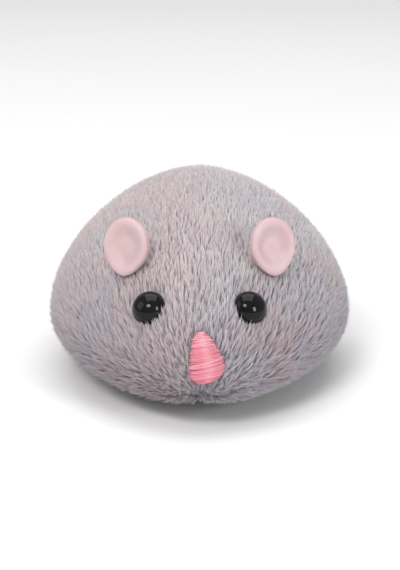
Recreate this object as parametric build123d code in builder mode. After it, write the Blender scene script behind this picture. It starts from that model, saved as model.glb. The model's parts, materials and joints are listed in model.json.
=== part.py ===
from build123d import *
import os
from math import acos, atan2, copysign, cos, pi, radians, sin, sqrt, tan

# Clockwork plush mouse. Millimetres, +Z up, nose towards -Y, the mouse's left is +X.
# The origin is on the floor, under the middle of the body's length.

# ---------------------------------------------------------------- plush body
BODY_LENGTH = 82.0
BODY_WIDTH = 62.0
MID_HEIGHT = 12.1        # height of the widest line
CROWN_HEIGHT = 27.1      # from the widest line to the top of the back
BELLY_DEPTH = 10.4       # from the widest line to the underside
WIDEST_BEHIND = 3.4      # widest section, behind mid-length
SIDE_POWER = 1.15        # how fast the plan view narrows to its ends
BELLY_POWER = 0.45
CROWN_LEAN = 0.10        # back higher behind than in front
DOME_POWER = 1.76        # superellipse exponent of the dome
CORNER_SHARE = 0.68      # lower side corner, as a share of the half-width
CORNER_FALL = 0.25
STATION_ANGLES = (3, 10, 24, 42, 66, 90, 114, 138, 156, 170, 177)
ROUND_PULL = 0.5523      # handle of a cubic that draws a quarter ellipse

PLUSH_THICK = 3.4        # backing and pile together
SHELL_WALL = 1.2
SHELL_INSET = PLUSH_THICK
SHELL_INNER = PLUSH_THICK + SHELL_WALL
PLAY = 0.1               # clearance of a hole round what passes through it
FIT = 0.02               # clearance of a fixed fit

# ---------------------------------------------------------------- base plate
PLATE_BOTTOM = 2.8
PLATE_THICK = 1.5
PLATE_TOP = PLATE_BOTTOM + PLATE_THICK
HEM = 1.0                # plush clamped between the plate and the shell's rim
RIM = PLATE_TOP + HEM
SKIRT_TOP = RIM + 4.2
PLATE_HALF_WIDTH = 19.0
PLATE_FRONT = -27.0
PLATE_CORNER = 14.0
SKIRT_WIDTH = 2.0
PLATE_PLAY = 0.15
PLATE_CHAMFER = 0.35
PLATE_OVERHANG = 3.0     # of the plate behind the motor's rear foot
SEAM_LUG_STATIONS = (50, 92, 128)
SEAM_LUG_R = 2.0
SEAM_LUG = 3.0
SEAM_PEG_R = 0.9
SEAM_PEG = 2.0

# ---------------------------------------------------------------- screws
SCREW_R = 1.0
SCREW_LENGTH = 6.2
SCREW_HEAD_R = 1.9
SCREW_HEAD = 1.1
RECESS_SPAN = 2.0
RECESS_WIDTH = 0.45
RECESS_DEPTH = 0.6
PILOT_R = SCREW_R + 0.05
BOSS_R = 2.4
BOSS_X = 12.5
BOSS_Y = (-12.0, 24.0)

# ---------------------------------------------------------------- motor
MODULE = 0.5
PRESSURE = radians(20)
BACKLASH = 0.1
PINION_TEETH = 10
WHEEL_TEETH = 28
MAIN_TEETH = 30
SHIFT = 0.5              # profile shift of the pinions, taken off the wheels
WHEEL_R = 8.5            # rolling radius of the drive wheels
AXLE_Y = 9.5
AXLE_R = 1.0
ARBOR_R = 1.25
ARBOR_RISE = 6.0         # winding arbor above the drive axle
ARBOR_BEHIND = 0.75      # gap between the arbor and the drive wheels' rim
SECOND_BEARING = radians(148)
PIN_R = 0.75
RUNNING = 0.05           # clearance of a running fit
HALF_CHAMBER = 7.5
MOTOR_WALL = 1.4
RIM_WALL = 1.3
BLIND = 0.8              # depth of a blind bearing in the motor's side wall
LUG_R = 2.3
LUG_GAP = 1.5
HOUSING_SCREW_LENGTH = 14.0
TIP_PLAY = 0.3
SPRING_R = 7.9
SPRING_TURNS = 7
SPRING_STRIP = 0.3
SPRING_STEPS = 8         # points per turn of the spiral
SPRING_END_ANGLE = radians(200)
SPRING_POST_R = 0.45
SPRING_POST_BITE = 0.15  # of the post into the chamber's wall
HUB_R = ARBOR_R + 0.5
RATCHET_TEETH = 12
RATCHET_R = 4.4
RATCHET_STEP = 0.9
CLICK_PIVOT_R = 6.2
CLICK_PIVOT_ANGLE = radians(30)
CLICK_PIN_R = 0.5
CLICK_PIN_HEAD = 0.3     # the head's overhang and thickness
CLICK_EYE_WALL = 0.45
# Heel and tip of the click, from the arbor's centre (backwards, upwards).
CLICK_HEEL = (1.9, 5.3)
CLICK_HEEL_R = 0.6
CLICK_TIP = ((0.12, 3.75), (0.85, 4.35), (2.2, 4.85), (1.8, 5.85), (0.4, 5.3))
FOOT_X = 5.5
FOOT_RISE = 1.3          # top of the feet over the drive axle
FRONT_FOOT_SPAN = (-4.8, 1.5)    # about the front of the third wheel
REAR_FOOT_SPAN = (5.5, 10.0)     # behind the winding arbor
FRONT_SCREW_INSET = 2.4
REAR_SCREW_INSET = 2.0
SIDE_PLAY = 0.2          # between the chamber's wall and the spring or the axle's pinion
LOW_LUG_DROP = 1.6       # lowest screw lug under the top of the feet
GEAR_WINDOWS = 5
GEAR_WINDOW_R = 1.2
GEAR_WINDOW_REACH = 4.9

# Layers of the train along X, between the two halves of the motor housing.
RATCHET_LAYER = (-6.6, -5.2)
MAIN_LAYER = (-5.0, -3.0)
SECOND_LAYER = (-2.6, -0.6)
SECOND_PINION_LAYER = (-5.2, -2.6)
THIRD_LAYER = (0.0, 1.8)
THIRD_PINION_LAYER = (-2.8, 0.0)
AXLE_PINION_LAYER = (-0.4, 2.2)
SPRING_LAYER = (0.6, 6.6)
COLLAR_LAYER = (-2.9, -2.3)
SLEEVE_END = HALF_CHAMBER - 0.3
SLEEVE_R = 1.5
COLLAR_RISE = 0.9

# ---------------------------------------------------------------- wheels and knob
WHEEL_INNER = 9.9
WHEEL_OUTER = 14.1
TYRE_WALL = 1.6
ROLLER_Y = -19.0
ROLLER_R = 4.5
ROLLER_HALF = 3.0
ROLLER_PIN_R = 0.8
ROLLER_RIM = 1.2
ROLLER_HUB = 1.0
ROLLER_DISH = 1.0
ROLLER_EDGE = 0.5
PIN_HEAD_R = 1.2
PIN_HEAD = 0.4
FORK_WALL = 1.6
FORK_GAP = 0.4
FORK_LENGTH = 5.2
FORK_RISE = 2.6          # top of the fork over the roller's pin
RIB_X = 8.0
RIB_WALL = 1.2
RIB_HEIGHT = 2.0
RIB_OVERHANG = 2.0       # of a rib past each end of the fork
SLOT_PLAY = 0.6
SLOT_CORNER = 1.0
AXLE_PROUD = 0.7
WHEEL_RIM = 1.0
WHEEL_HUB_R = 2.4
WEB_DEPTH = 1.4
TYRE_INSET = 0.3
TYRE_EDGE = 0.4
KNOB_R = 4.0
KNOB_THICK = 4.6
KNOB_GAP = 0.5           # between the knob and its seat in the shell
KNOB_SINK = 0.8          # the seat's depth under the shell's side
KNOB_SIDE = -1           # the mouse's right, so that it winds clockwise
KNOB_POCKET = 0.8
KNOB_SCREW_R = 0.6
KNOB_SCREW_HEAD_R = 1.6
KNOB_SCREW_HEAD = 1.0
KNOB_SCREW_LENGTH = 4.5
KNOB_SCREW_SLOT = 0.4
KNOB_SCREW_SLOT_DEPTH = 0.5
KNOB_EDGE = 0.8
FLUTES = 12
FLUTE_R = 0.7

# ---------------------------------------------------------------- face, ears, tail
EYE_STATION = radians(35.1)
EYE_LIFT = radians(50.5)
EYE_R = 3.1
EYE_SINK = 1.6
EYE_RISE = 1.5
EYE_EDGE = 0.6           # straight edge of the dome, over its flat back
EYE_SHOULDER = (0.5, 0.72)   # point of the dome's profile, as shares of rise and radius
STEM_R = 1.3
EAR_STATION = radians(51.0)
EAR_LIFT = radians(48.3)
EAR_HALF_WIDTH = 4.7
EAR_HEIGHT = 10.4
EAR_THICK = 2.2
EAR_DISH = 1.4
EAR_POCKET_R = 3.6
EAR_RAISE = 0.8          # foot of the ear's blade over the pile
EAR_POCKET = 1.6
EAR_EDGE = 0.6
EAR_RIM = 0.9            # rim round the mouth of the dish
EAR_SLOPE = 1.3          # how much narrower the dish is at its floor
EAR_DISH_UP = 0.4
EAR_ROOT = 1.5           # the stem's height inside the blade's foot
EAR_FLANGE = 0.9
# The ear's blade faces forwards and a little outwards, and leans back slightly.
EAR_FACING = Vector(0.45, -0.87, 0.17)
STEM_END = SHELL_INNER + 3.0
WASHER_R = 3.0
WASHER_THICK = 0.8
WASHER_GAP = 1.1
NOSE_RISE = 0.45
NOSE_SINK = 0.9
NOSE_TOP = 19.7
NOSE_BOTTOM = 10.9
# The patch's right and left edges at its top, middle, widest line and bottom.
NOSE_TOP_SPAN = (-1.1, 1.5)
NOSE_MIDDLE_SPAN = (-1.7, 3.3)
NOSE_WIDE_SPAN = (-1.9, 4.5)
NOSE_FOOT_SPAN = (-0.4, 2.9)
NOSE_WIDE_RISE = 2.2     # widest line above the bottom
NOSE_ROUND = 0.5
TAIL_LENGTH = 48.0
TAIL_ROOT_R = 1.75
TAIL_TIP_R = 0.7
TAIL_DROP = 7.6
TAIL_SWAY = 9.0
TAIL_STEPS = 9
TAIL_HEAD = 1.2
TAIL_SEAT = 2.0          # how far inside the shell the tail starts


# ================================================================ shared geometry
def crown_and_belly(u, inset):
    """Half-width, crown height and belly depth of the section at station angle u."""
    half_width = (BODY_WIDTH / 2 - inset) * sin(u) ** SIDE_POWER
    crown = (CROWN_HEIGHT - inset) * sin(u) * (1 - CROWN_LEAN * cos(u))
    belly = (BELLY_DEPTH - inset) * sin(u) ** BELLY_POWER
    return half_width, crown, belly


def station_y(u, inset):
    """Where along the body the section at station angle u stands."""
    return -(BODY_LENGTH / 2 - inset) * cos(u) + WIDEST_BEHIND * sin(u) ** 2


def station_at(y, inset):
    """Station angle of the section at y."""
    half_length = BODY_LENGTH / 2 - inset
    root = sqrt(half_length**2 - 4 * WIDEST_BEHIND * (y - WIDEST_BEHIND))
    return acos((root - half_length) / (2 * WIDEST_BEHIND))


def side_at(y, z, inset):
    """Half-width of the body at y and at a height z above the widest line."""
    half_width, crown, _ = crown_and_belly(station_at(y, inset), inset)
    rise = ((z - MID_HEIGHT) / crown) ** (DOME_POWER / 2)
    return half_width * (1 - rise**2) ** (1 / DOME_POWER)


def dome_point(u, t, inset=0.0):
    """Point of the dome at station angle u and lift angle t from the left side."""
    half_width, crown, _ = crown_and_belly(u, inset)
    power = 2 / DOME_POWER
    x = half_width * copysign(abs(cos(t)) ** power, cos(t))
    return Vector(x, station_y(u, inset), MID_HEIGHT + crown * abs(sin(t)) ** power)


def dome_plane(u, t):
    """Plane that touches the dome at (u, t), its normal pointing outwards."""
    step = 1e-3
    along = dome_point(u + step, t) - dome_point(u - step, t)
    across = dome_point(u, t + step) - dome_point(u, t - step)
    return Plane(origin=dome_point(u, t), x_dir=along, z_dir=along.cross(across))


def body_section(u, inset):
    """Cross-section of the body: a domed top, two round corners and a flat belly."""
    half_width, crown, belly = crown_and_belly(u, inset)
    corner = (CORNER_SHARE - CORNER_FALL * sin(u) ** 2) * half_width
    flat = half_width - corner
    top = MID_HEIGHT + crown
    bottom = MID_HEIGHT - belly
    dome_pull = (8 * 2 ** (-1 / DOME_POWER) - 4) / 3
    bend_x = flat + corner * ROUND_PULL
    bend_z = MID_HEIGHT - belly * ROUND_PULL
    dome_x = half_width * dome_pull
    dome_z = MID_HEIGHT + crown * dome_pull
    with BuildSketch(Plane.XZ.offset(-station_y(u, inset))) as section:
        with BuildLine():
            Bezier((half_width, MID_HEIGHT), (half_width, dome_z), (dome_x, top), (0, top))
            Bezier((0, top), (-dome_x, top), (-half_width, dome_z), (-half_width, MID_HEIGHT))
            Bezier((-half_width, MID_HEIGHT), (-half_width, bend_z), (-bend_x, bottom), (-flat, bottom))
            Line((-flat, bottom), (flat, bottom))
            Bezier((flat, bottom), (bend_x, bottom), (half_width, bend_z), (half_width, MID_HEIGHT))
        make_face()
    return section.sketch.face()


def body_envelope(inset):
    """The plush body's outer shape, moved inwards by inset."""
    with BuildPart() as envelope:
        loft(sections=[body_section(radians(angle), inset) for angle in STATION_ANGLES])
    return envelope.part


def plate_prism(low, high, inset=0.0):
    """Prism of the base plate's rounded outline, moved inwards by inset."""
    width = 2 * (PLATE_HALF_WIDTH - inset)
    length = PLATE_REAR - PLATE_FRONT - 2 * inset
    with BuildPart() as prism:
        with BuildSketch(Plane.XY.offset(low)):
            with Locations((0, (PLATE_FRONT + PLATE_REAR) / 2)):
                RectangleRounded(width, length, PLATE_CORNER - inset)
        extrude(amount=high - low)
    return prism.part


def rod(centre, radius, low, high):
    """Cylinder along X about a centre (y, z), between low and high."""
    with BuildPart() as cylinder:
        with BuildSketch(Plane.YZ.offset(low)):
            with Locations(centre):
                Circle(radius)
        extrude(amount=high - low)
    return cylinder.part


def rod_along_y(z, radius, low, high):
    """Cylinder along Y in the centre plane, between low and high."""
    with BuildPart() as cylinder:
        with BuildSketch(Plane.XZ.offset(-high)):
            with Locations((0, z)):
                Circle(radius)
        extrude(amount=high - low)
    return cylinder.part


def half_space(side):
    """Everything on one side of the centre plane: 1 for the left, -1 for the right."""
    size = 4 * BODY_LENGTH
    with BuildPart() as box:
        with Locations((side * size / 2, 0, 0)):
            Box(size, size, size)
    return box.part


def shell_boss(side, y):
    """Screw boss of the shell, from the base plate up to the crown."""
    with BuildPart() as boss:
        with BuildSketch(Plane.XY.offset(PLATE_TOP)):
            with Locations((side * BOSS_X, y)):
                Circle(BOSS_R)
        extrude(amount=BODY_WIDTH)
        add(boss_limit, mode=Mode.INTERSECT)
    return boss.part


def mirrored_plane(plane):
    """The same plane on the other side of the centre plane."""
    return Plane(
        origin=(-plane.origin.X, plane.origin.Y, plane.origin.Z),
        x_dir=(plane.x_dir.X, -plane.x_dir.Y, -plane.x_dir.Z),
        z_dir=(-plane.z_dir.X, plane.z_dir.Y, plane.z_dir.Z),
    )


def stem(plane, radius, low, high):
    """Cylinder along a plane's normal between two heights over the plane."""
    with BuildPart() as cylinder:
        with BuildSketch(plane.offset(low)):
            Circle(radius)
        extrude(amount=high - low)
    return cylinder.part


def washer(plane, depth, bore):
    """Push-on washer with its face at a depth under the plane."""
    with BuildPart() as ring:
        with BuildSketch(plane.offset(-depth - WASHER_THICK)):
            Circle(WASHER_R)
            Circle(bore, mode=Mode.SUBTRACT)
        extrude(amount=WASHER_THICK)
    return ring.part


def pan_screw(plane, length=SCREW_LENGTH):
    """Cross-recessed pan screw, its head under the plane and its shank above."""
    with BuildPart() as screw:
        with BuildSketch(plane.offset(-SCREW_HEAD)):
            Circle(SCREW_HEAD_R)
        extrude(amount=SCREW_HEAD)
        with BuildSketch(plane):
            Circle(SCREW_R)
        extrude(amount=length)
        with BuildSketch(plane.offset(-SCREW_HEAD)):
            Rectangle(RECESS_SPAN, RECESS_WIDTH)
            Rectangle(RECESS_WIDTH, RECESS_SPAN)
        extrude(amount=RECESS_DEPTH, mode=Mode.SUBTRACT)
    return screw.part


def involute(angle):
    return tan(angle) - angle


def gear_face(teeth, shift, phase):
    """Involute gear with a tooth centred on the angle phase, on its own centre."""
    pitch_r = MODULE * teeth / 2
    base_r = pitch_r * cos(PRESSURE)
    tip_r = pitch_r + MODULE * (1 + shift)
    root_r = pitch_r - MODULE * (1.25 - shift)
    half_tooth = pi / (2 * teeth) + 2 * shift * tan(PRESSURE) / teeth - BACKLASH / (4 * pitch_r)

    def half_angle(radius):
        return half_tooth + involute(PRESSURE) - involute(acos(min(1.0, base_r / radius)))

    def polar(radius, angle):
        return (radius * cos(angle), radius * sin(angle))

    flank_radii = [base_r + (tip_r - base_r) * step / 4 for step in range(5)]
    pitch_angle = 2 * pi / teeth
    with BuildSketch() as gear:
        with BuildLine():
            for tooth in range(teeth):
                middle = phase + tooth * pitch_angle
                rising = [polar(r, middle - half_angle(r)) for r in flank_radii]
                falling = [polar(r, middle + half_angle(r)) for r in reversed(flank_radii)]
                root_start = polar(root_r, middle - half_angle(base_r))
                root_end = polar(root_r, middle + half_angle(base_r))
                next_root = polar(root_r, middle + pitch_angle - half_angle(base_r))
                Line(root_start, rising[0])
                Spline(*rising)
                ThreePointArc(rising[-1], polar(tip_r, middle), falling[0])
                Spline(*falling)
                Line(falling[-1], root_end)
                ThreePointArc(root_end, polar(root_r, middle + pitch_angle / 2), next_root)
        make_face()
    return gear.sketch


def gear_slab(teeth, shift, phase, centre, layer):
    """Spur gear about a centre (y, z), filling a layer (low x, high x)."""
    with BuildPart() as slab:
        with BuildSketch(Plane.YZ.offset(layer[0])):
            with Locations(centre):
                add(gear_face(teeth, shift, phase))
        extrude(amount=layer[1] - layer[0])
    return slab.part


def direction(start, end):
    """Angle in the YZ plane from one centre to another."""
    return atan2(end[1] - start[1], end[0] - start[0])


# ================================================================ train layout
AXLE = (AXLE_Y, WHEEL_R)
ARBOR = (AXLE_Y + WHEEL_R + ARBOR_R + ARBOR_BEHIND, WHEEL_R + ARBOR_RISE)
MAIN_REACH = MODULE * (MAIN_TEETH + PINION_TEETH) / 2
WHEEL_REACH = MODULE * (WHEEL_TEETH + PINION_TEETH) / 2
SECOND = (
    ARBOR[0] + MAIN_REACH * cos(SECOND_BEARING),
    ARBOR[1] + MAIN_REACH * sin(SECOND_BEARING),
)
# The third centre is a wheel reach from both the second centre and the axle, on the front side.
AXLE_TO_SECOND = direction(AXLE, SECOND)
HALF_SPAN = sqrt((SECOND[0] - AXLE[0]) ** 2 + (SECOND[1] - AXLE[1]) ** 2) / 2
THIRD_BEARING = AXLE_TO_SECOND + acos(HALF_SPAN / WHEEL_REACH)
THIRD = (
    AXLE[0] + WHEEL_REACH * cos(THIRD_BEARING),
    AXLE[1] + WHEEL_REACH * sin(THIRD_BEARING),
)
WHEEL_TIP_R = MODULE * (WHEEL_TEETH / 2 + 1 - SHIFT)
PINION_TIP_R = MODULE * (PINION_TEETH / 2 + 1 + SHIFT)
CHAMBER = (
    (ARBOR, SPRING_R + SIDE_PLAY),
    (SECOND, WHEEL_TIP_R + TIP_PLAY),
    (THIRD, WHEEL_TIP_R + TIP_PLAY),
    (AXLE, PINION_TIP_R + SIDE_PLAY),
)
MOTOR_HALF = HALF_CHAMBER + MOTOR_WALL
THIRD_FRONT = THIRD[0] - WHEEL_TIP_R
FRONT_FOOT = (THIRD_FRONT + FRONT_FOOT_SPAN[0], THIRD_FRONT + FRONT_FOOT_SPAN[1])
REAR_FOOT = (ARBOR[0] + REAR_FOOT_SPAN[0], ARBOR[0] + REAR_FOOT_SPAN[1])
FOOT_TOP = WHEEL_R + FOOT_RISE
FOOT_SCREW_Y = (FRONT_FOOT[0] + FRONT_SCREW_INSET, REAR_FOOT[1] - REAR_SCREW_INSET)
PLATE_REAR = REAR_FOOT[1] + PLATE_OVERHANG

GAP_TURN = pi / PINION_TEETH
MAIN_PHASE = direction(ARBOR, SECOND)
SECOND_PHASE = direction(SECOND, THIRD)
THIRD_PHASE = direction(THIRD, AXLE)

SHELL_SIDE = side_at(ARBOR[0], ARBOR[1], SHELL_INSET)
KNOB_SEAT = SHELL_SIDE - KNOB_SINK
KNOB_INNER = KNOB_SEAT + KNOB_GAP
KNOB_OUTER = KNOB_INNER + KNOB_THICK

EYE_PLANE = dome_plane(EYE_STATION, EYE_LIFT)
EAR_PLANE = dome_plane(EAR_STATION, EAR_LIFT)
EYE_PLANES = {1: EYE_PLANE, -1: mirrored_plane(EYE_PLANE)}
EAR_PLANES = {1: EAR_PLANE, -1: mirrored_plane(EAR_PLANE)}
EAR_BLADE = Plane(
    origin=EAR_PLANE.origin + EAR_PLANE.z_dir * EAR_RAISE,
    x_dir=Vector(0, 0, 1).cross(EAR_FACING),
    z_dir=EAR_FACING,
)
EAR_BLADES = {1: EAR_BLADE, -1: mirrored_plane(EAR_BLADE)}

BOSS_SPOTS = [(side * BOSS_X, y) for side in (1, -1) for y in BOSS_Y]
FOOT_SPOTS = [(side * FOOT_X, y) for side in (1, -1) for y in FOOT_SCREW_Y]
WHEEL_MIDDLE = (WHEEL_INNER + WHEEL_OUTER) / 2


def beside(start, end, start_reach, gap):
    """Spot outside the middle of the line from start to end, to its right."""
    angle = direction(start, end) - pi / 2
    reach = start_reach + gap
    return (
        (start[0] + end[0]) / 2 + reach * cos(angle),
        (start[1] + end[1]) / 2 + reach * sin(angle),
    )


LUG_SPOTS = (
    beside(ARBOR, SECOND, SPRING_R + RIM_WALL, LUG_GAP),
    beside(SECOND, THIRD, WHEEL_TIP_R + RIM_WALL, LUG_GAP),
    (THIRD_FRONT + TIP_PLAY, FOOT_TOP - LOW_LUG_DROP),
)
SPRING_POST_REACH = SPRING_R + SPRING_POST_BITE - SPRING_POST_R
SPRING_POST_ANGLE = SPRING_END_ANGLE + (SPRING_POST_R + PLAY) / SPRING_POST_REACH
SPRING_POST = (
    ARBOR[0] + SPRING_POST_REACH * cos(SPRING_POST_ANGLE),
    ARBOR[1] + SPRING_POST_REACH * sin(SPRING_POST_ANGLE),
)

os.makedirs("parts", exist_ok=True)

# ================================================================ body shell and plush
outer_form = body_envelope(0.0)
shell_form = body_envelope(SHELL_INSET)
cavity_form = body_envelope(SHELL_INNER)
hem_prism = plate_prism(RIM, SKIRT_TOP)
opening_prism = plate_prism(0.0, SKIRT_TOP, SKIRT_WIDTH)
rim_space = plate_prism(0.0, RIM)
plate_space = plate_prism(0.0, PLATE_TOP)
with BuildPart() as boss_space:
    add(shell_form)
    add(opening_prism)
boss_limit = boss_space.part

# Nose patch: satin stitch that follows the snout, a little off centre and wider below.
NOSE_MIDDLE = (NOSE_TOP + NOSE_BOTTOM) / 2
with BuildPart() as nose_embroidery:
    add(body_envelope(-NOSE_RISE))
    with BuildSketch(Plane.XZ):
        with BuildLine():
            Spline(
                (NOSE_TOP_SPAN[0], NOSE_TOP - NOSE_ROUND),
                (NOSE_TOP_SPAN[1], NOSE_TOP - NOSE_ROUND),
                (NOSE_MIDDLE_SPAN[1], NOSE_MIDDLE),
                (NOSE_WIDE_SPAN[1], NOSE_BOTTOM + NOSE_WIDE_RISE),
                (NOSE_FOOT_SPAN[1], NOSE_BOTTOM + NOSE_ROUND),
                (NOSE_FOOT_SPAN[0], NOSE_BOTTOM + NOSE_ROUND),
                (NOSE_WIDE_SPAN[0], NOSE_BOTTOM + NOSE_WIDE_RISE),
                (NOSE_MIDDLE_SPAN[0], NOSE_MIDDLE),
                periodic=True,
            )
        make_face()
    extrude(amount=BODY_LENGTH, mode=Mode.INTERSECT)
    add(body_envelope(NOSE_SINK), mode=Mode.SUBTRACT)
nose_embroidery.part.label = "nose_embroidery"
export_step(nose_embroidery.part, "parts/nose_embroidery.step")

# Tail: one tapered moulding that runs back and down towards the floor, with a moulded
# head inside the shell that keeps it from pulling out.
TAIL_START = BODY_LENGTH / 2 - SHELL_INNER - TAIL_SEAT
TAIL_END = BODY_LENGTH / 2 + TAIL_LENGTH


def tail_point(share):
    """Middle of the tail at a share of its reach, 0 inside the shell and 1 at the tip."""
    y = TAIL_START + (TAIL_END - TAIL_START) * share
    z = MID_HEIGHT - TAIL_DROP * sin(share * pi / 2) ** 2
    return Vector(TAIL_SWAY * share**3, y, z)


with BuildPart() as tail:
    for step in range(TAIL_STEPS + 1):
        share = step / TAIL_STEPS
        heading = tail_point(share + 0.01) - tail_point(share - 0.01)
        radius = TAIL_ROOT_R + (TAIL_TIP_R - TAIL_ROOT_R) * share
        with BuildSketch(Plane(origin=tail_point(share), z_dir=heading)):
            Circle(radius)
    loft()
    with BuildSketch(Plane(origin=tail_point(0), z_dir=(0, 1, 0))):
        Circle(2 * TAIL_ROOT_R)
    extrude(amount=-TAIL_HEAD)
tail.part.label = "tail"
export_step(tail.part, "parts/tail.step")

with BuildPart() as tail_hole:
    add(rod_along_y(MID_HEIGHT, TAIL_ROOT_R + PLAY, TAIL_START - TAIL_HEAD, BODY_LENGTH))

# Locating lugs under the crown: a peg on the left half sits in a bore of the right half.
LUG_CENTRES = []
for station in SEAM_LUG_STATIONS:
    crown = crown_and_belly(radians(station), SHELL_INNER)[1]
    LUG_CENTRES.append((station_y(radians(station), SHELL_INNER), MID_HEIGHT + crown - SEAM_LUG_R / 2))

for side, name in ((1, "left"), (-1, "right")):
    eye_plane = EYE_PLANES[side]
    ear_plane = EAR_PLANES[side]
    knob_side = side == KNOB_SIDE

    with BuildPart() as plush:
        add(outer_form)
        add(shell_form, mode=Mode.SUBTRACT)
        add(hem_prism, mode=Mode.SUBTRACT)
        add(plate_space, mode=Mode.SUBTRACT)
        add(opening_prism, mode=Mode.SUBTRACT)
        add(half_space(side), mode=Mode.INTERSECT)
        add(nose_embroidery.part, mode=Mode.SUBTRACT)
        add(tail_hole.part, mode=Mode.SUBTRACT)
        add(stem(eye_plane, EYE_R + PLAY, -EYE_SINK - PLAY, 2 * EYE_R), mode=Mode.SUBTRACT)
        add(stem(eye_plane, STEM_R + PLAY, -STEM_END, 0), mode=Mode.SUBTRACT)
        add(stem(ear_plane, EAR_POCKET_R, -EAR_POCKET, EAR_HEIGHT), mode=Mode.SUBTRACT)
        add(stem(ear_plane, STEM_R + PLAY, -STEM_END, 0), mode=Mode.SUBTRACT)
        if knob_side:
            add(rod(ARBOR, KNOB_R + KNOB_POCKET, -BODY_WIDTH, -KNOB_SEAT), mode=Mode.SUBTRACT)
    plush.part.label = "plush_" + name
    export_step(plush.part, f"parts/plush_{name}.step")

    with BuildPart() as shell:
        add(shell_form)
        add(hem_prism)
        add(cavity_form, mode=Mode.SUBTRACT)
        add(opening_prism, mode=Mode.SUBTRACT)
        add(rim_space, mode=Mode.SUBTRACT)
        for y in BOSS_Y:
            add(shell_boss(side, y))
        add(half_space(side), mode=Mode.INTERSECT)
        for centre in LUG_CENTRES:
            lug_end = side * SEAM_LUG
            add(rod(centre, SEAM_LUG_R, min(0, lug_end), max(0, lug_end)) & shell_form)
        for centre in LUG_CENTRES:
            if side == 1:
                add(rod(centre, SEAM_PEG_R, -SEAM_PEG, 0))
            else:
                add(rod(centre, SEAM_PEG_R + PLAY, -SEAM_PEG - PLAY, 0), mode=Mode.SUBTRACT)
        for y in BOSS_Y:
            with BuildSketch(Plane.XY.offset(PLATE_TOP)):
                with Locations((side * BOSS_X, y)):
                    Circle(PILOT_R)
            extrude(amount=SCREW_LENGTH, mode=Mode.SUBTRACT)
        add(tail_hole.part, mode=Mode.SUBTRACT)
        add(stem(eye_plane, STEM_R + PLAY, -STEM_END, 0), mode=Mode.SUBTRACT)
        add(stem(ear_plane, STEM_R + PLAY, -STEM_END, 0), mode=Mode.SUBTRACT)
        if knob_side:
            # The knob turns in a shallow cup, so that it can be gripped over the plush.
            cup_r = KNOB_R + KNOB_POCKET
            add(rod(ARBOR, cup_r + SHELL_WALL, -BODY_WIDTH, -KNOB_SEAT + SHELL_WALL) & shell_form)
            add(rod(ARBOR, cup_r, -BODY_WIDTH, -KNOB_SEAT), mode=Mode.SUBTRACT)
            add(rod(ARBOR, ARBOR_R + 3 * PLAY, -BODY_WIDTH, -MOTOR_HALF), mode=Mode.SUBTRACT)
    shell.part.label = "body_shell_" + name
    export_step(shell.part, f"parts/body_shell_{name}.step")

    # Safety eye: a dome sunk in the pile, on a ridged stem that a washer holds from inside.
    with BuildPart() as eye:
        with BuildSketch(Plane(origin=eye_plane.origin, x_dir=eye_plane.z_dir, z_dir=eye_plane.x_dir)):
            with BuildLine():
                Polyline((EYE_RISE, 0), (-EYE_SINK, 0), (-EYE_SINK, EYE_R), (EYE_EDGE - EYE_SINK, EYE_R))
                Spline(
                    (EYE_EDGE - EYE_SINK, EYE_R),
                    (EYE_SHOULDER[0] * EYE_RISE, EYE_SHOULDER[1] * EYE_R),
                    (EYE_RISE, 0),
                    tangents=((1, 0), (0, -1)),
                )
            make_face()
        revolve(axis=Axis(eye_plane.origin, eye_plane.z_dir))
        add(stem(eye_plane, STEM_R, -STEM_END, -EYE_SINK))
    eye.part.label = name + "_eye"
    export_step(eye.part, f"parts/{name}_eye.step")

    # Ear: a cupped oval of soft vinyl on a stem.
    ear_blade = EAR_BLADES[side]
    with BuildPart() as ear:
        with BuildSketch(ear_blade.offset(-EAR_THICK / 2)):
            with Locations((0, EAR_HEIGHT / 2)):
                Ellipse(EAR_HALF_WIDTH, EAR_HEIGHT / 2)
        extrude(amount=EAR_THICK)
        fillet(ear.edges(), EAR_EDGE)
        for depth, narrowing in ((0.0, EAR_RIM), (EAR_DISH, EAR_RIM + EAR_SLOPE)):
            with BuildSketch(ear_blade.offset(EAR_THICK / 2 - depth)):
                with Locations((0, EAR_HEIGHT / 2 + EAR_DISH_UP)):
                    Ellipse(EAR_HALF_WIDTH - narrowing, EAR_HEIGHT / 2 - narrowing)
        loft(mode=Mode.SUBTRACT)
        add(stem(ear_plane, STEM_R, -STEM_END, EAR_ROOT))
        flange_base = PLAY - EAR_POCKET
        add(stem(ear_plane, EAR_POCKET_R - 2 * PLAY, flange_base, flange_base + EAR_FLANGE))
    ear.part.label = name + "_ear"
    export_step(ear.part, f"parts/{name}_ear.step")

# Push-on washers that hold the eyes and the ears from inside the shell.
for planes, name in ((EYE_PLANES, "eye_washers"), (EAR_PLANES, "ear_washers")):
    with BuildPart() as washers:
        for side in (1, -1):
            add(washer(planes[side], SHELL_INNER + WASHER_GAP, STEM_R + FIT))
    washers.part.label = name
    export_step(washers.part, f"parts/{name}.step")

# ================================================================ base plate
EAR_X = ROLLER_HALF + FORK_GAP
ROLLER = (ROLLER_Y, ROLLER_R)

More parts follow.
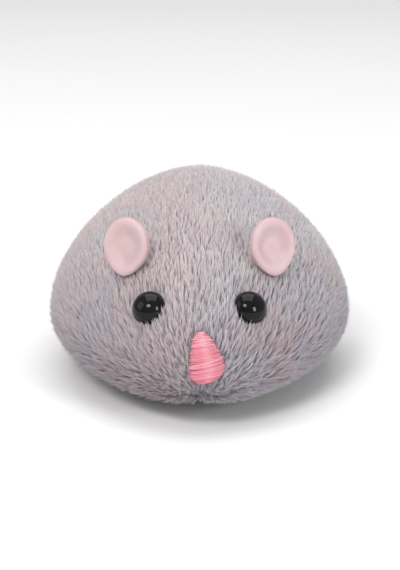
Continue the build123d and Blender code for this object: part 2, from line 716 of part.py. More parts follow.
with BuildPart() as base_plate:
    add(plate_prism(PLATE_BOTTOM, PLATE_TOP, PLATE_PLAY))
    chamfer(base_plate.faces().sort_by(Axis.Z)[0].edges(), PLATE_CHAMFER)
    # Fork that carries the front roller.
    with BuildSketch(Plane.XY.offset(PLATE_BOTTOM)):
        with Locations((EAR_X + FORK_WALL / 2, ROLLER_Y), (-EAR_X - FORK_WALL / 2, ROLLER_Y)):
            Rectangle(FORK_WALL, FORK_LENGTH)
    extrude(amount=ROLLER_R + FORK_RISE - PLATE_BOTTOM)
    # Stiffening ribs between the front bosses and the fork.
    with BuildSketch(Plane.XY.offset(PLATE_TOP)):
        with Locations((RIB_X, ROLLER_Y), (-RIB_X, ROLLER_Y)):
            Rectangle(RIB_WALL, FORK_LENGTH + 2 * RIB_OVERHANG)
    extrude(amount=RIB_HEIGHT)
    # Openings for the drive wheels and the roller.
    wheel_chord = sqrt(WHEEL_R**2 - (WHEEL_R - PLATE_TOP) ** 2)
    with BuildSketch(Plane.XY.offset(PLATE_BOTTOM)):
        with Locations((WHEEL_MIDDLE, AXLE_Y), (-WHEEL_MIDDLE, AXLE_Y)):
            slot_width = WHEEL_OUTER - WHEEL_INNER + 2 * SLOT_PLAY
            RectangleRounded(slot_width, 2 * (wheel_chord + SLOT_PLAY), SLOT_CORNER)
        with Locations((0, ROLLER_Y)):
            Rectangle(2 * EAR_X, 2 * (ROLLER_R + SLOT_PLAY))
    extrude(amount=PLATE_THICK + RIB_HEIGHT, mode=Mode.SUBTRACT)
    fork_side = EAR_X + FORK_WALL
    add(rod(ROLLER, ROLLER_PIN_R + FIT, -fork_side, fork_side), mode=Mode.SUBTRACT)
    for start in (-fork_side - 2 * PIN_HEAD, fork_side):
        add(rod(ROLLER, PIN_HEAD_R + PLAY, start, start + 2 * PIN_HEAD), mode=Mode.SUBTRACT)
    with BuildSketch(Plane.XY.offset(PLATE_BOTTOM)):
        with Locations(*BOSS_SPOTS, *FOOT_SPOTS):
            Circle(SCREW_R + PLAY)
    extrude(amount=PLATE_THICK, mode=Mode.SUBTRACT)
base_plate.part.label = "base_plate"
export_step(base_plate.part, "parts/base_plate.step")

for spots, name in ((BOSS_SPOTS, "base_screws"), (FOOT_SPOTS, "motor_screws")):
    with BuildPart() as screws:
        for x, y in spots:
            add(pan_screw(Plane(origin=(x, y, PLATE_BOTTOM), x_dir=(1, 0, 0), z_dir=(0, 0, 1))))
    screws.part.label = name
    export_step(screws.part, f"parts/{name}.step")

# ================================================================ motor housing
with BuildPart() as motor_block:
    with BuildSketch(Plane.YZ.offset(-MOTOR_HALF)):
        for (y, z), radius in CHAMBER:
            with Locations((y, z)):
                Circle(radius + RIM_WALL)
        make_hull()
        for front, rear in (FRONT_FOOT, REAR_FOOT):
            with Locations(((front + rear) / 2, (PLATE_TOP + FOOT_TOP) / 2)):
                Rectangle(rear - front, FOOT_TOP - PLATE_TOP)
        for spot in LUG_SPOTS:
            with Locations(spot):
                Circle(LUG_R)
        with Locations((0, PLATE_TOP - WHEEL_R)):
            Rectangle(4 * WHEEL_R, 2 * WHEEL_R, mode=Mode.SUBTRACT)
    extrude(amount=2 * MOTOR_HALF)
    with BuildSketch(Plane.YZ.offset(-HALF_CHAMBER)):
        for (y, z), radius in CHAMBER:
            with Locations((y, z)):
                Circle(radius)
        make_hull()
    extrude(amount=2 * HALF_CHAMBER, mode=Mode.SUBTRACT)
    # Bearings: the axle runs right through, the arbor only on the knob's side.
    add(rod(AXLE, AXLE_R + RUNNING, -MOTOR_HALF, MOTOR_HALF), mode=Mode.SUBTRACT)
    add(rod(ARBOR, ARBOR_R + RUNNING, -MOTOR_HALF, HALF_CHAMBER + BLIND), mode=Mode.SUBTRACT)
    for centre in (SECOND, THIRD):
        add(rod(centre, PIN_R + FIT, -HALF_CHAMBER - BLIND, HALF_CHAMBER + BLIND), mode=Mode.SUBTRACT)
    pilot_end = -MOTOR_HALF + HOUSING_SCREW_LENGTH + PLAY
    for spot in LUG_SPOTS:
        add(rod(spot, PILOT_R, -MOTOR_HALF, pilot_end), mode=Mode.SUBTRACT)
    with BuildSketch(Plane.XY.offset(PLATE_TOP)):
        with Locations(*FOOT_SPOTS):
            Circle(PILOT_R)
    extrude(amount=SCREW_LENGTH - PLATE_THICK + PLAY, mode=Mode.SUBTRACT)

for side, name in ((1, "left"), (-1, "right")):
    with BuildPart() as housing:
        add(motor_block.part)
        add(half_space(side), mode=Mode.INTERSECT)
        if side == 1:
            # Post that holds the outer end of the mainspring.
            add(rod(SPRING_POST, SPRING_POST_R, SPRING_LAYER[0], HALF_CHAMBER))
    housing.part.label = "motor_housing_" + name
    export_step(housing.part, f"parts/motor_housing_{name}.step")

with BuildPart() as housing_screws:
    for y, z in LUG_SPOTS:
        head_plane = Plane(origin=(-MOTOR_HALF, y, z), x_dir=(0, 1, 0), z_dir=(1, 0, 0))
        add(pan_screw(head_plane, HOUSING_SCREW_LENGTH))
housing_screws.part.label = "housing_screws"
export_step(housing_screws.part, "parts/housing_screws.step")

with BuildPart() as gear_pins:
    for centre in (SECOND, THIRD):
        add(rod(centre, PIN_R, -HALF_CHAMBER - BLIND + FIT, HALF_CHAMBER + BLIND - FIT))
gear_pins.part.label = "gear_pins"
export_step(gear_pins.part, "parts/gear_pins.step")

# ================================================================ gear train
with BuildPart() as axle_pinion:
    add(gear_slab(PINION_TEETH, SHIFT, THIRD_PHASE + pi + GAP_TURN, AXLE, AXLE_PINION_LAYER))
    add(rod(AXLE, AXLE_R + FIT, *AXLE_PINION_LAYER), mode=Mode.SUBTRACT)
axle_pinion.part.label = "axle_pinion"
export_step(axle_pinion.part, "parts/axle_pinion.step")

for name, centre, wheel_layer, pinion_layer, wheel_phase, pinion_phase in (
    ("second_gear", SECOND, SECOND_LAYER, SECOND_PINION_LAYER, SECOND_PHASE, MAIN_PHASE + pi + GAP_TURN),
    ("third_gear", THIRD, THIRD_LAYER, THIRD_PINION_LAYER, THIRD_PHASE, SECOND_PHASE + pi + GAP_TURN),
):
    low = min(wheel_layer[0], pinion_layer[0])
    high = max(wheel_layer[1], pinion_layer[1])
    with BuildPart() as gear:
        add(gear_slab(WHEEL_TEETH, -SHIFT, wheel_phase, centre, wheel_layer))
        with BuildSketch(Plane.YZ.offset(wheel_layer[0])):
            with Locations(centre):
                with PolarLocations(GEAR_WINDOW_REACH, GEAR_WINDOWS):
                    Circle(GEAR_WINDOW_R)
        extrude(amount=wheel_layer[1] - wheel_layer[0], mode=Mode.SUBTRACT)
        add(gear_slab(PINION_TEETH, SHIFT, pinion_phase, centre, pinion_layer))
        add(rod(centre, SLEEVE_R, -SLEEVE_END, low))
        add(rod(centre, SLEEVE_R, high, SLEEVE_END))
        add(rod(centre, PIN_R + RUNNING, -SLEEVE_END, SLEEVE_END), mode=Mode.SUBTRACT)
    gear.part.label = name
    export_step(gear.part, f"parts/{name}.step")

CLICK_PIVOT = (
    ARBOR[0] + CLICK_PIVOT_R * cos(CLICK_PIVOT_ANGLE),
    ARBOR[1] + CLICK_PIVOT_R * sin(CLICK_PIVOT_ANGLE),
)
with BuildPart() as main_gear:
    add(gear_slab(MAIN_TEETH, -SHIFT, MAIN_PHASE, ARBOR, MAIN_LAYER))
    add(rod(ARBOR, ARBOR_R + RUNNING, *MAIN_LAYER), mode=Mode.SUBTRACT)
    add(rod(CLICK_PIVOT, CLICK_PIN_R + FIT, *MAIN_LAYER), mode=Mode.SUBTRACT)
main_gear.part.label = "main_gear"
export_step(main_gear.part, "parts/main_gear.step")

with BuildPart() as click_pin:
    add(rod(CLICK_PIVOT, CLICK_PIN_R, MAIN_LAYER[0] + PLAY, MAIN_LAYER[1]))
    add(rod(CLICK_PIVOT, CLICK_PIN_R, RATCHET_LAYER[0] - PLAY, MAIN_LAYER[0] + PLAY))
    head_start = RATCHET_LAYER[0] - PLAY - CLICK_PIN_HEAD
    add(rod(CLICK_PIVOT, CLICK_PIN_R + CLICK_PIN_HEAD, head_start, RATCHET_LAYER[0] - PLAY))
click_pin.part.label = "click_pin"
export_step(click_pin.part, "parts/click_pin.step")

# Click: an arched lever whose tip rests in the gap before a ratchet tooth.
with BuildPart() as click:
    with BuildSketch(Plane.YZ.offset(RATCHET_LAYER[0] + PLAY)):
        with Locations(CLICK_PIVOT):
            Circle(CLICK_PIN_R + CLICK_EYE_WALL)
        with Locations(ARBOR):
            with Locations(CLICK_HEEL):
                Circle(CLICK_HEEL_R)
        make_hull()
        with BuildLine():
            Polyline([(ARBOR[0] + y, ARBOR[1] + z) for y, z in CLICK_TIP], close=True)
        make_face()
        with Locations(CLICK_PIVOT):
            Circle(CLICK_PIN_R + RUNNING, mode=Mode.SUBTRACT)
    extrude(amount=RATCHET_LAYER[1] - RATCHET_LAYER[0] - 2 * PLAY)
click.part.label = "click"
export_step(click.part, "parts/click.step")

# Ratchet wheel: each tooth has a radial face that pushes the click and a sloping back.
with BuildPart() as ratchet_wheel:
    with BuildSketch(Plane.YZ.offset(RATCHET_LAYER[0])):
        outline = []
        for tooth in range(RATCHET_TEETH):
            angle = pi / 2 + 2 * pi * tooth / RATCHET_TEETH
            for radius in (RATCHET_R - RATCHET_STEP, RATCHET_R):
                outline.append((ARBOR[0] + radius * cos(angle), ARBOR[1] + radius * sin(angle)))
        with BuildLine():
            Polyline(outline, close=True)
        make_face()
        with Locations(ARBOR):
            Circle(ARBOR_R + FIT, mode=Mode.SUBTRACT)
    extrude(amount=RATCHET_LAYER[1] - RATCHET_LAYER[0])
ratchet_wheel.part.label = "ratchet_wheel"
export_step(ratchet_wheel.part, "parts/ratchet_wheel.step")

with BuildPart() as winding_arbor:
    add(rod(ARBOR, ARBOR_R, -KNOB_OUTER + KNOB_SCREW_HEAD, HALF_CHAMBER + BLIND - PLAY))
    add(rod(ARBOR, ARBOR_R + COLLAR_RISE, *COLLAR_LAYER))
    add(rod(ARBOR, HUB_R, *SPRING_LAYER))
    screw_end = -KNOB_OUTER + KNOB_SCREW_LENGTH
    add(rod(ARBOR, KNOB_SCREW_R + FIT, -KNOB_OUTER, screw_end + PLAY), mode=Mode.SUBTRACT)
winding_arbor.part.label = "winding_arbor"
export_step(winding_arbor.part, "parts/winding_arbor.step")


def spring_edge(offset):
    """Points of the mainspring's spiral, moved outwards by an offset."""
    start = HUB_R + FIT
    turn_pitch = (SPRING_R - SPRING_STRIP - start) / SPRING_TURNS
    points = []
    for step in range(SPRING_TURNS * SPRING_STEPS + 1):
        angle = SPRING_END_ANGLE + 2 * pi * step / SPRING_STEPS
        radius = start + turn_pitch * step / SPRING_STEPS + offset
        points.append((ARBOR[0] + radius * cos(angle), ARBOR[1] + radius * sin(angle)))
    return points


with BuildPart() as mainspring:
    with BuildSketch(Plane.YZ.offset(SPRING_LAYER[0])):
        with BuildLine():
            inner = Spline(spring_edge(0.0))
            outer = Spline(spring_edge(SPRING_STRIP))
            Line(inner @ 0, outer @ 0)
            Line(inner @ 1, outer @ 1)
        make_face()
    extrude(amount=SPRING_LAYER[1] - SPRING_LAYER[0])
mainspring.part.label = "mainspring"
export_step(mainspring.part, "parts/mainspring.step")

# ================================================================ winding knob
with BuildPart() as winding_knob:
    with BuildSketch(Plane.YZ.offset(-KNOB_OUTER)):
        with Locations(ARBOR):
            Circle(KNOB_R)
    extrude(amount=KNOB_THICK)
    fillet(winding_knob.faces().sort_by(Axis.X)[0].edges(), KNOB_EDGE)
    with BuildSketch(Plane.YZ.offset(-KNOB_OUTER)):
        with Locations(ARBOR):
            with PolarLocations(KNOB_R + FLUTE_R / 2, FLUTES):
                Circle(FLUTE_R)
    extrude(amount=KNOB_THICK, mode=Mode.SUBTRACT)
    add(rod(ARBOR, ARBOR_R + FIT, -KNOB_OUTER, -KNOB_INNER), mode=Mode.SUBTRACT)
    head_end = -KNOB_OUTER + KNOB_SCREW_HEAD
    add(rod(ARBOR, KNOB_SCREW_HEAD_R + PLAY, -KNOB_OUTER, head_end), mode=Mode.SUBTRACT)
winding_knob.part.label = "winding_knob"
export_step(winding_knob.part, "parts/winding_knob.step")

with BuildPart() as knob_screw:
    add(rod(ARBOR, KNOB_SCREW_HEAD_R, -KNOB_OUTER + PLAY, -KNOB_OUTER + KNOB_SCREW_HEAD))
    add(rod(ARBOR, KNOB_SCREW_R, -KNOB_OUTER, -KNOB_OUTER + KNOB_SCREW_LENGTH))
    with BuildSketch(Plane.YZ.offset(-KNOB_OUTER)):
        with Locations(ARBOR):
            Rectangle(2 * KNOB_SCREW_HEAD_R, KNOB_SCREW_SLOT)
    extrude(amount=KNOB_SCREW_SLOT_DEPTH, mode=Mode.SUBTRACT)
knob_screw.part.label = "knob_screw"
export_step(knob_screw.part, "parts/knob_screw.step")

# ================================================================ wheels and roller
with BuildPart() as drive_axle:
    add(rod(AXLE, AXLE_R, -WHEEL_OUTER - AXLE_PROUD, WHEEL_OUTER + AXLE_PROUD))
drive_axle.part.label = "drive_axle"
export_step(drive_axle.part, "parts/drive_axle.step")

for side, name in ((1, "left"), (-1, "right")):
    low = min(side * WHEEL_INNER, side * WHEEL_OUTER)
    high = max(side * WHEEL_INNER, side * WHEEL_OUTER)
    with BuildPart() as wheel:
        add(rod(AXLE, WHEEL_R - TYRE_WALL, low, high))
        outer_face = side * (WHEEL_OUTER - WEB_DEPTH / 2)
        with BuildSketch(Plane.YZ.offset(outer_face - WEB_DEPTH / 2)):
            with Locations(AXLE):
                Circle(WHEEL_R - TYRE_WALL - WHEEL_RIM)
                Circle(WHEEL_HUB_R, mode=Mode.SUBTRACT)
        extrude(amount=WEB_DEPTH, mode=Mode.SUBTRACT)
        add(rod(AXLE, AXLE_R + FIT, low, high), mode=Mode.SUBTRACT)
    wheel.part.label = name + "_wheel"
    export_step(wheel.part, f"parts/{name}_wheel.step")

    with BuildPart() as tyre:
        add(rod(AXLE, WHEEL_R, low + TYRE_INSET, high - TYRE_INSET))
        fillet(tyre.edges(), TYRE_EDGE)
        add(rod(AXLE, WHEEL_R - TYRE_WALL, low, high), mode=Mode.SUBTRACT)
    tyre.part.label = name + "_tyre"
    export_step(tyre.part, f"parts/{name}_tyre.step")

with BuildPart() as front_roller:
    add(rod(ROLLER, ROLLER_R, -ROLLER_HALF, ROLLER_HALF))
    fillet(front_roller.edges(), ROLLER_EDGE)
    with BuildSketch(Plane.YZ.offset(-ROLLER_HALF)):
        with Locations(ROLLER):
            Circle(ROLLER_R - ROLLER_RIM)
            Circle(ROLLER_PIN_R + ROLLER_HUB, mode=Mode.SUBTRACT)
    extrude(amount=ROLLER_DISH, mode=Mode.SUBTRACT)
    add(rod(ROLLER, ROLLER_PIN_R + RUNNING, -ROLLER_HALF, ROLLER_HALF), mode=Mode.SUBTRACT)
front_roller.part.label = "front_roller"
export_step(front_roller.part, "parts/front_roller.step")

with BuildPart() as roller_pin:
    add(rod(ROLLER, ROLLER_PIN_R, -fork_side, fork_side))
    for start in (-fork_side - PIN_HEAD, fork_side):
        add(rod(ROLLER, PIN_HEAD_R, start, start + PIN_HEAD))
roller_pin.part.label = "roller_pin"
export_step(roller_pin.part, "parts/roller_pin.step")
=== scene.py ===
import json
import math

import bmesh
import bpy
import numpy as np
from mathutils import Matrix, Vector
from mathutils.bvhtree import BVHTree
from mathutils.kdtree import KDTree


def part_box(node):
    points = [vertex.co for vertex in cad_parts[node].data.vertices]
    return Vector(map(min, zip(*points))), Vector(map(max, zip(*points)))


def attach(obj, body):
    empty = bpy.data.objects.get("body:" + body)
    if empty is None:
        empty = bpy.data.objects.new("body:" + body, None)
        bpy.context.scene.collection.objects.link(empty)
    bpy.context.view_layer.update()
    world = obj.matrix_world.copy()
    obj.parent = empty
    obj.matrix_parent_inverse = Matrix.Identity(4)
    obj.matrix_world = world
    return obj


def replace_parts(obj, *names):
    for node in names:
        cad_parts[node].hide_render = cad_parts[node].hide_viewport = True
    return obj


# Looks of the clockwork plush mouse, in metres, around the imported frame: +Z up, nose towards -Y.
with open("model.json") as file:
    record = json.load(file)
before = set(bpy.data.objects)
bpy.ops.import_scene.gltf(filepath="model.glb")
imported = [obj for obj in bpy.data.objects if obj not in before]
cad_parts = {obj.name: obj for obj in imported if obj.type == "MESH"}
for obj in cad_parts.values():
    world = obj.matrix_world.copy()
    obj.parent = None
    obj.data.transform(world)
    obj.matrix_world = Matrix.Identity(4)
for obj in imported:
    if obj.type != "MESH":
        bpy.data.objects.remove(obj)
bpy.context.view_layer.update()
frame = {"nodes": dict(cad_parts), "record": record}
MM = 0.001

# ---------------------------------------------------------------- measures from the frame
LEFT_LOW, LEFT_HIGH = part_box("plush_left")
PLATE_LOW, PLATE_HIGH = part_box("base_plate")
KNOB_LOW, KNOB_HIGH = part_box("winding_knob")
HALF_WIDTH = LEFT_HIGH.x
HALF_LENGTH = (LEFT_HIGH.y - LEFT_LOW.y) / 2
MID_HEIGHT = 12.1 * MM
BELLY_DEPTH = MID_HEIGHT - LEFT_LOW.z
CROWN_HEIGHT = LEFT_HIGH.z - MID_HEIGHT
KNOB_CENTRE = (KNOB_LOW + KNOB_HIGH) / 2
KNOB_RADIUS = (KNOB_HIGH.z - KNOB_LOW.z) / 2

# The body's own shape, as proportions.
WIDEST_BEHIND = 3.4 * MM
SIDE_POWER = 1.15
BELLY_POWER = 0.45
CROWN_LEAN = 0.10
DOME_POWER = 1.76
CORNER_SHARE = 0.68
CORNER_FALL = 0.25
PLATE_CORNER = 14.0 * MM
OPENING_GAP = 0.7 * MM        # room round the knob in the plush

# Pile: fibres that stand on the skin and lie back from the nose.
PILE_DEPTH = 1.5 * MM
FIBRES = 112000
CLUMP_SHARE = 0.20           # clumps for each fibre
FIBRE_RADIUS = 0.062 * MM
PIECE_FIBRES = 16000
# These are estimates: the finished half measures less, 0.058 across and 0.0042 in area.
REACH = 1.35 * MM            # how far a fibre leans along the skin
FACE_REACH = 0.75 * MM       # what the longer fibres of the face add

EYE_AT = (35.1, 50.5)        # station and lift of the eyes on the dome, in degrees
EYE_RADIUS = 3.3 * MM
EAR_AT = (51.0, 48.3)
EAR_FACING = (0.45, -0.87, 0.17)
EAR_HALF_WIDTH = 4.6 * MM
EAR_INWARD = 0.5 * MM
EAR_HEIGHT = 11.2 * MM
EAR_THICK = 2.3 * MM
EAR_DISH = 1.2 * MM
NOSE_TOP = 19.7 * MM
NOSE_BOTTOM = 10.9 * MM
STITCHES = 30
THREAD_RADIUS = 0.21 * MM
THREAD_POINTS = 17
THREAD_SIDES = 8

# Tyres: wall and edge as in the CAD; the cross grooves are guessed.
TYRE_WALL = 1.6 * MM
TYRE_EDGE = 0.4 * MM
TREADS = 26
TREAD_DEPTH = 0.35 * MM
TREAD_STEPS = 8              # steps round the tyre for each groove
GROOVE_STEPS = 2             # of which this many are cut

rng = np.random.default_rng(11)


# ================================================================ node helpers
def new_material(name):
    """A material with its principled shader, ready for more nodes."""
    material = bpy.data.materials.new(name)
    material.use_nodes = True
    shader = material.node_tree.nodes["Principled BSDF"]
    return material, material.node_tree, shader


def add_node(tree, kind, **settings):
    node = tree.nodes.new(kind)
    for key, value in settings.items():
        setattr(node, key, value)
    return node


def object_place(tree):
    return add_node(tree, "ShaderNodeTexCoord").outputs["Object"]


def noise(tree, scale, detail=3.0, rough=0.55, place=None):
    """Noise over the object's own coordinates; scale counts features per metre."""
    node = add_node(tree, "ShaderNodeTexNoise")
    node.inputs["Scale"].default_value = scale
    node.inputs["Detail"].default_value = detail
    node.inputs["Roughness"].default_value = rough
    tree.links.new(place or object_place(tree), node.inputs["Vector"])
    return node.outputs["Fac"]


def ramp(tree, value, stops):
    """Colour ramp from a value: stops are (position, (r, g, b))."""
    node = add_node(tree, "ShaderNodeValToRGB")
    elements = node.color_ramp.elements
    while len(elements) < len(stops):
        elements.new(0.5)
    for element, (position, colour) in zip(elements, stops):
        element.position = position
        element.color = (*colour, 1.0)
    tree.links.new(value, node.inputs["Fac"])
    return node.outputs["Color"]


def spread(tree, value, low, high):
    """Value from 0..1 mapped to low..high."""
    node = add_node(tree, "ShaderNodeMapRange")
    node.inputs["To Min"].default_value = low
    node.inputs["To Max"].default_value = high
    tree.links.new(value, node.inputs["Value"])
    return node.outputs["Result"]


def blend_colours(tree, factor, first, second, mode="MIX"):
    node = add_node(tree, "ShaderNodeMix", data_type="RGBA", blend_type=mode)
    for socket, given in ((node.inputs[0], factor), (node.inputs[6], first), (node.inputs[7], second)):
        if isinstance(given, (int, float)):
            socket.default_value = given
        elif isinstance(given, tuple):
            socket.default_value = (*given, 1.0)
        else:
            tree.links.new(given, socket)
    return node.outputs[2]


def bump(tree, shader, height, strength, distance):
    node = add_node(tree, "ShaderNodeBump")
    node.inputs["Strength"].default_value = strength
    node.inputs["Distance"].default_value = distance
    tree.links.new(height, node.inputs["Height"])
    tree.links.new(node.outputs["Normal"], shader.inputs["Normal"])


def moulded_plastic(name, colour, roughness, grain=9000.0, grain_height=0.02 * MM, gloss=0.5):
    """Injection-moulded plastic: fine spark texture, faint flow marks and rubbed patches."""
    material, tree, shader = new_material(name)
    dark = tuple(c * 0.86 for c in colour)
    light = tuple(min(1.0, c * 1.10) for c in colour)
    tree.links.new(ramp(tree, noise(tree, 140.0), ((0.3, dark), (0.7, light))), shader.inputs["Base Color"])
    tree.links.new(
        spread(tree, noise(tree, 420.0, 5.0), roughness - 0.06, roughness + 0.10), shader.inputs["Roughness"]
    )
    shader.inputs["Specular IOR Level"].default_value = gloss
    bump(tree, shader, noise(tree, grain, 2.0), 0.5, grain_height)
    return material


def turned_steel(name, colour, roughness, along=(1.0, 0.05, 0.05)):
    """Steel with fine lines from turning or drawing, and a slightly uneven polish."""
    material, tree, shader = new_material(name)
    mapping = add_node(tree, "ShaderNodeMapping")
    mapping.inputs["Scale"].default_value = along
    tree.links.new(object_place(tree), mapping.inputs["Vector"])
    lines = noise(tree, 16000.0, 2.0, 0.5, mapping.outputs["Vector"])
    dark = tuple(c * 0.8 for c in colour)
    tree.links.new(ramp(tree, lines, ((0.35, dark), (0.7, colour))), shader.inputs["Base Color"])
    tree.links.new(
        spread(tree, noise(tree, 600.0, 4.0), roughness - 0.08, roughness + 0.12), shader.inputs["Roughness"]
    )
    shader.inputs["Metallic"].default_value = 1.0
    bump(tree, shader, lines, 0.35, 0.01 * MM)
    return material


def plush_fibre():
    """Pile fibre: lilac grey that drifts to blue grey, each fibre its own tone; painted shade makes it darker
    at the root and darker towards the bottom of the body.
    """
    material, tree, shader = new_material("plush_fibre")
    attribute = add_node(tree, "ShaderNodeAttribute", attribute_name="fibre")
    parts = add_node(tree, "ShaderNodeSeparateColor")
    tree.links.new(attribute.outputs["Color"], parts.inputs["Color"])
    along, own, clump = parts.outputs["Red"], parts.outputs["Green"], parts.outputs["Blue"]
    place = add_node(tree, "ShaderNodeSeparateXYZ")
    tree.links.new(object_place(tree), place.inputs["Vector"])
    patches = ramp(tree, noise(tree, 75.0, 3.0, 0.6), ((0.36, PINK_GREY), (0.5, LILAC), (0.64, BLUE_GREY)))
    other = ramp(tree, noise(tree, 95.0, 2.0, 0.6), ((0.36, LILAC), (0.5, BLUE_GREY), (0.62, GREEN_GREY)))
    across = add_node(tree, "ShaderNodeMapRange")
    across.inputs["From Min"].default_value = -0.010
    across.inputs["From Max"].default_value = 0.026
    tree.links.new(place.outputs["X"], across.inputs["Value"])
    drift = blend_colours(tree, across.outputs["Result"], patches, other)
    # Painted shade: the fibres darken towards the bottom of the body, full colour from 30 mm height, down to
    # about 0.82 at 4 mm.
    rise = add_node(tree, "ShaderNodeMapRange")
    rise.inputs["From Min"].default_value = 0.004
    rise.inputs["From Max"].default_value = 0.030
    tree.links.new(place.outputs["Z"], rise.inputs["Value"])
    painted_low_shade = ramp(tree, rise.outputs["Result"], ((0.0, (0.82, 0.80, 0.83)), (1.0, (1.0, 1.0, 1.0))))
    drift = blend_colours(tree, 1.0, drift, painted_low_shade, "MULTIPLY")
    shade = ramp(tree, own, ((0.0, (0.88, 0.86, 0.89)), (1.0, (1.07, 1.06, 1.05))))
    tuft = ramp(tree, clump, ((0.0, (0.88, 0.85, 0.90)), (0.5, (1.0, 0.98, 0.99)), (1.0, (1.06, 1.06, 1.05))))
    # Painted shade: each fibre is darkest at its root, deep in the pile, and lightens towards its tip.
    depth = ramp(
        tree, along, ((0.0, (0.62, 0.58, 0.65)), (0.5, (0.88, 0.86, 0.88)), (1.0, (1.04, 1.04, 1.03)))
    )
    colour = blend_colours(tree, 1.0, drift, shade, "MULTIPLY")
    colour = blend_colours(tree, 1.0, colour, tuft, "MULTIPLY")
    colour = blend_colours(tree, 1.0, colour, depth, "MULTIPLY")
    tree.links.new(colour, shader.inputs["Base Color"])
    shader.inputs["Roughness"].default_value = 0.62
    shader.inputs["Specular IOR Level"].default_value = 0.25
    shader.inputs["Sheen Weight"].default_value = 0.25
    shader.inputs["Sheen Roughness"].default_value = 0.5
    return material


def plush_backing():
    """Knitted backing under the pile, with short fluff between the fibres."""
    material, tree, shader = new_material("plush_backing")
    fluff = noise(tree, 2600.0, 6.0, 0.7)
    dark = tuple(c * 0.50 for c in LILAC)
    light = tuple(c * 0.82 for c in BLUE_GREY)
    tree.links.new(ramp(tree, fluff, ((0.3, dark), (0.7, light))), shader.inputs["Base Color"])
    shader.inputs["Roughness"].default_value = 0.95
    shader.inputs["Sheen Weight"].default_value = 0.3
    bump(tree, shader, fluff, 1.0, 0.25 * MM)
    return material


def soft_vinyl(name, colour):
    """Soft pink vinyl: satin, a little see-through, with a faint mould texture."""
    material, tree, shader = new_material(name)
    dark = tuple(c * f for c, f in zip(colour, (0.95, 0.86, 0.86)))
    tree.links.new(
        ramp(tree, noise(tree, 220.0, 3.0), ((0.3, dark), (0.7, colour))), shader.inputs["Base Color"]
    )
    tree.links.new(spread(tree, noise(tree, 900.0, 4.0), 0.42, 0.58), shader.inputs["Roughness"])
    shader.inputs["Subsurface Weight"].default_value = 0.35
    shader.inputs["Subsurface Radius"].default_value = (1.0, 0.45, 0.4)
    shader.inputs["Subsurface Scale"].default_value = 1.2 * MM
    shader.inputs["Specular IOR Level"].default_value = 0.4
    bump(tree, shader, noise(tree, 5200.0, 2.0), 0.35, 0.02 * MM)
    return material


def black_bead():
    """Polished black plastic of a safety eye, with the faintest waviness."""
    material, tree, shader = new_material("black_bead")
    tree.links.new(
        ramp(tree, noise(tree, 300.0), ((0.3, (0.004, 0.004, 0.004)), (0.7, (0.009, 0.008, 0.008)))),
        shader.inputs["Base Color"],
    )
    tree.links.new(spread(tree, noise(tree, 1200.0, 4.0), 0.03, 0.08), shader.inputs["Roughness"])
    shader.inputs["Specular IOR Level"].default_value = 0.20
    bump(tree, shader, noise(tree, 500.0), 0.05, 0.02 * MM)
    return material


def satin_thread():
    """Shiny embroidery floss: each stitch its own pink, lighter along its middle where a highlight is painted
    in, with the twist of its strands.
    """
    material, tree, shader = new_material("satin_thread")
    attribute = add_node(tree, "ShaderNodeAttribute", attribute_name="stitch")
    parts = add_node(tree, "ShaderNodeSeparateColor")
    tree.links.new(attribute.outputs["Color"], parts.inputs["Color"])
    pink = ramp(
        tree,
        parts.outputs["Red"],
        ((0.0, (0.52, 0.13, 0.20)), (0.45, (0.80, 0.22, 0.29)), (1.0, (0.92, 0.46, 0.52))),
    )
    twist = add_node(tree, "ShaderNodeTexWave", wave_type="BANDS", bands_direction="DIAGONAL")
    twist.inputs["Scale"].default_value = 3200.0
    twist.inputs["Distortion"].default_value = 1.5
    tree.links.new(object_place(tree), twist.inputs["Vector"])
    strand = ramp(tree, twist.outputs["Fac"], ((0.0, (0.72, 0.66, 0.68)), (1.0, (1.06, 1.04, 1.04))))
    tree.links.new(blend_colours(tree, 0.7, pink, strand, "MULTIPLY"), shader.inputs["Base Color"])
    shader.inputs["Roughness"].default_value = 0.38
    shader.inputs["Specular IOR Level"].default_value = 0.7
    shader.inputs["Sheen Weight"].default_value = 0.3
    bump(tree, shader, twist.outputs["Fac"], 0.8, 0.05 * MM)
    return material


def tyre_rubber():
    material, tree, shader = new_material("tyre_rubber")
    dusty = noise(tree, 350.0, 5.0)
    tree.links.new(
        ramp(tree, dusty, ((0.35, (0.016, 0.016, 0.017)), (0.75, (0.045, 0.043, 0.042)))),
        shader.inputs["Base Color"],
    )
    tree.links.new(spread(tree, dusty, 0.62, 0.9), shader.inputs["Roughness"])
    bump(tree, shader, noise(tree, 7000.0, 3.0), 0.6, 0.03 * MM)
    return material


LILAC = (0.610, 0.555, 0.545)
BLUE_GREY = (0.565, 0.560, 0.585)
PINK_GREY = (0.640, 0.570, 0.560)
GREEN_GREY = (0.605, 0.620, 0.600)


# ================================================================ body surface
def section_size(u, inset):
    """Half-width, crown height and belly depth of the section at station angle u."""
    s = np.sin(u)
    half_width = (HALF_WIDTH - inset) * s**SIDE_POWER
    crown = (CROWN_HEIGHT - inset) * s * (1 - CROWN_LEAN * np.cos(u))
    belly = (BELLY_DEPTH - inset) * s**BELLY_POWER
    return half_width, crown, belly


RING_BREAKS = (0.0, 0.56, 0.74, 0.82, 1.0)


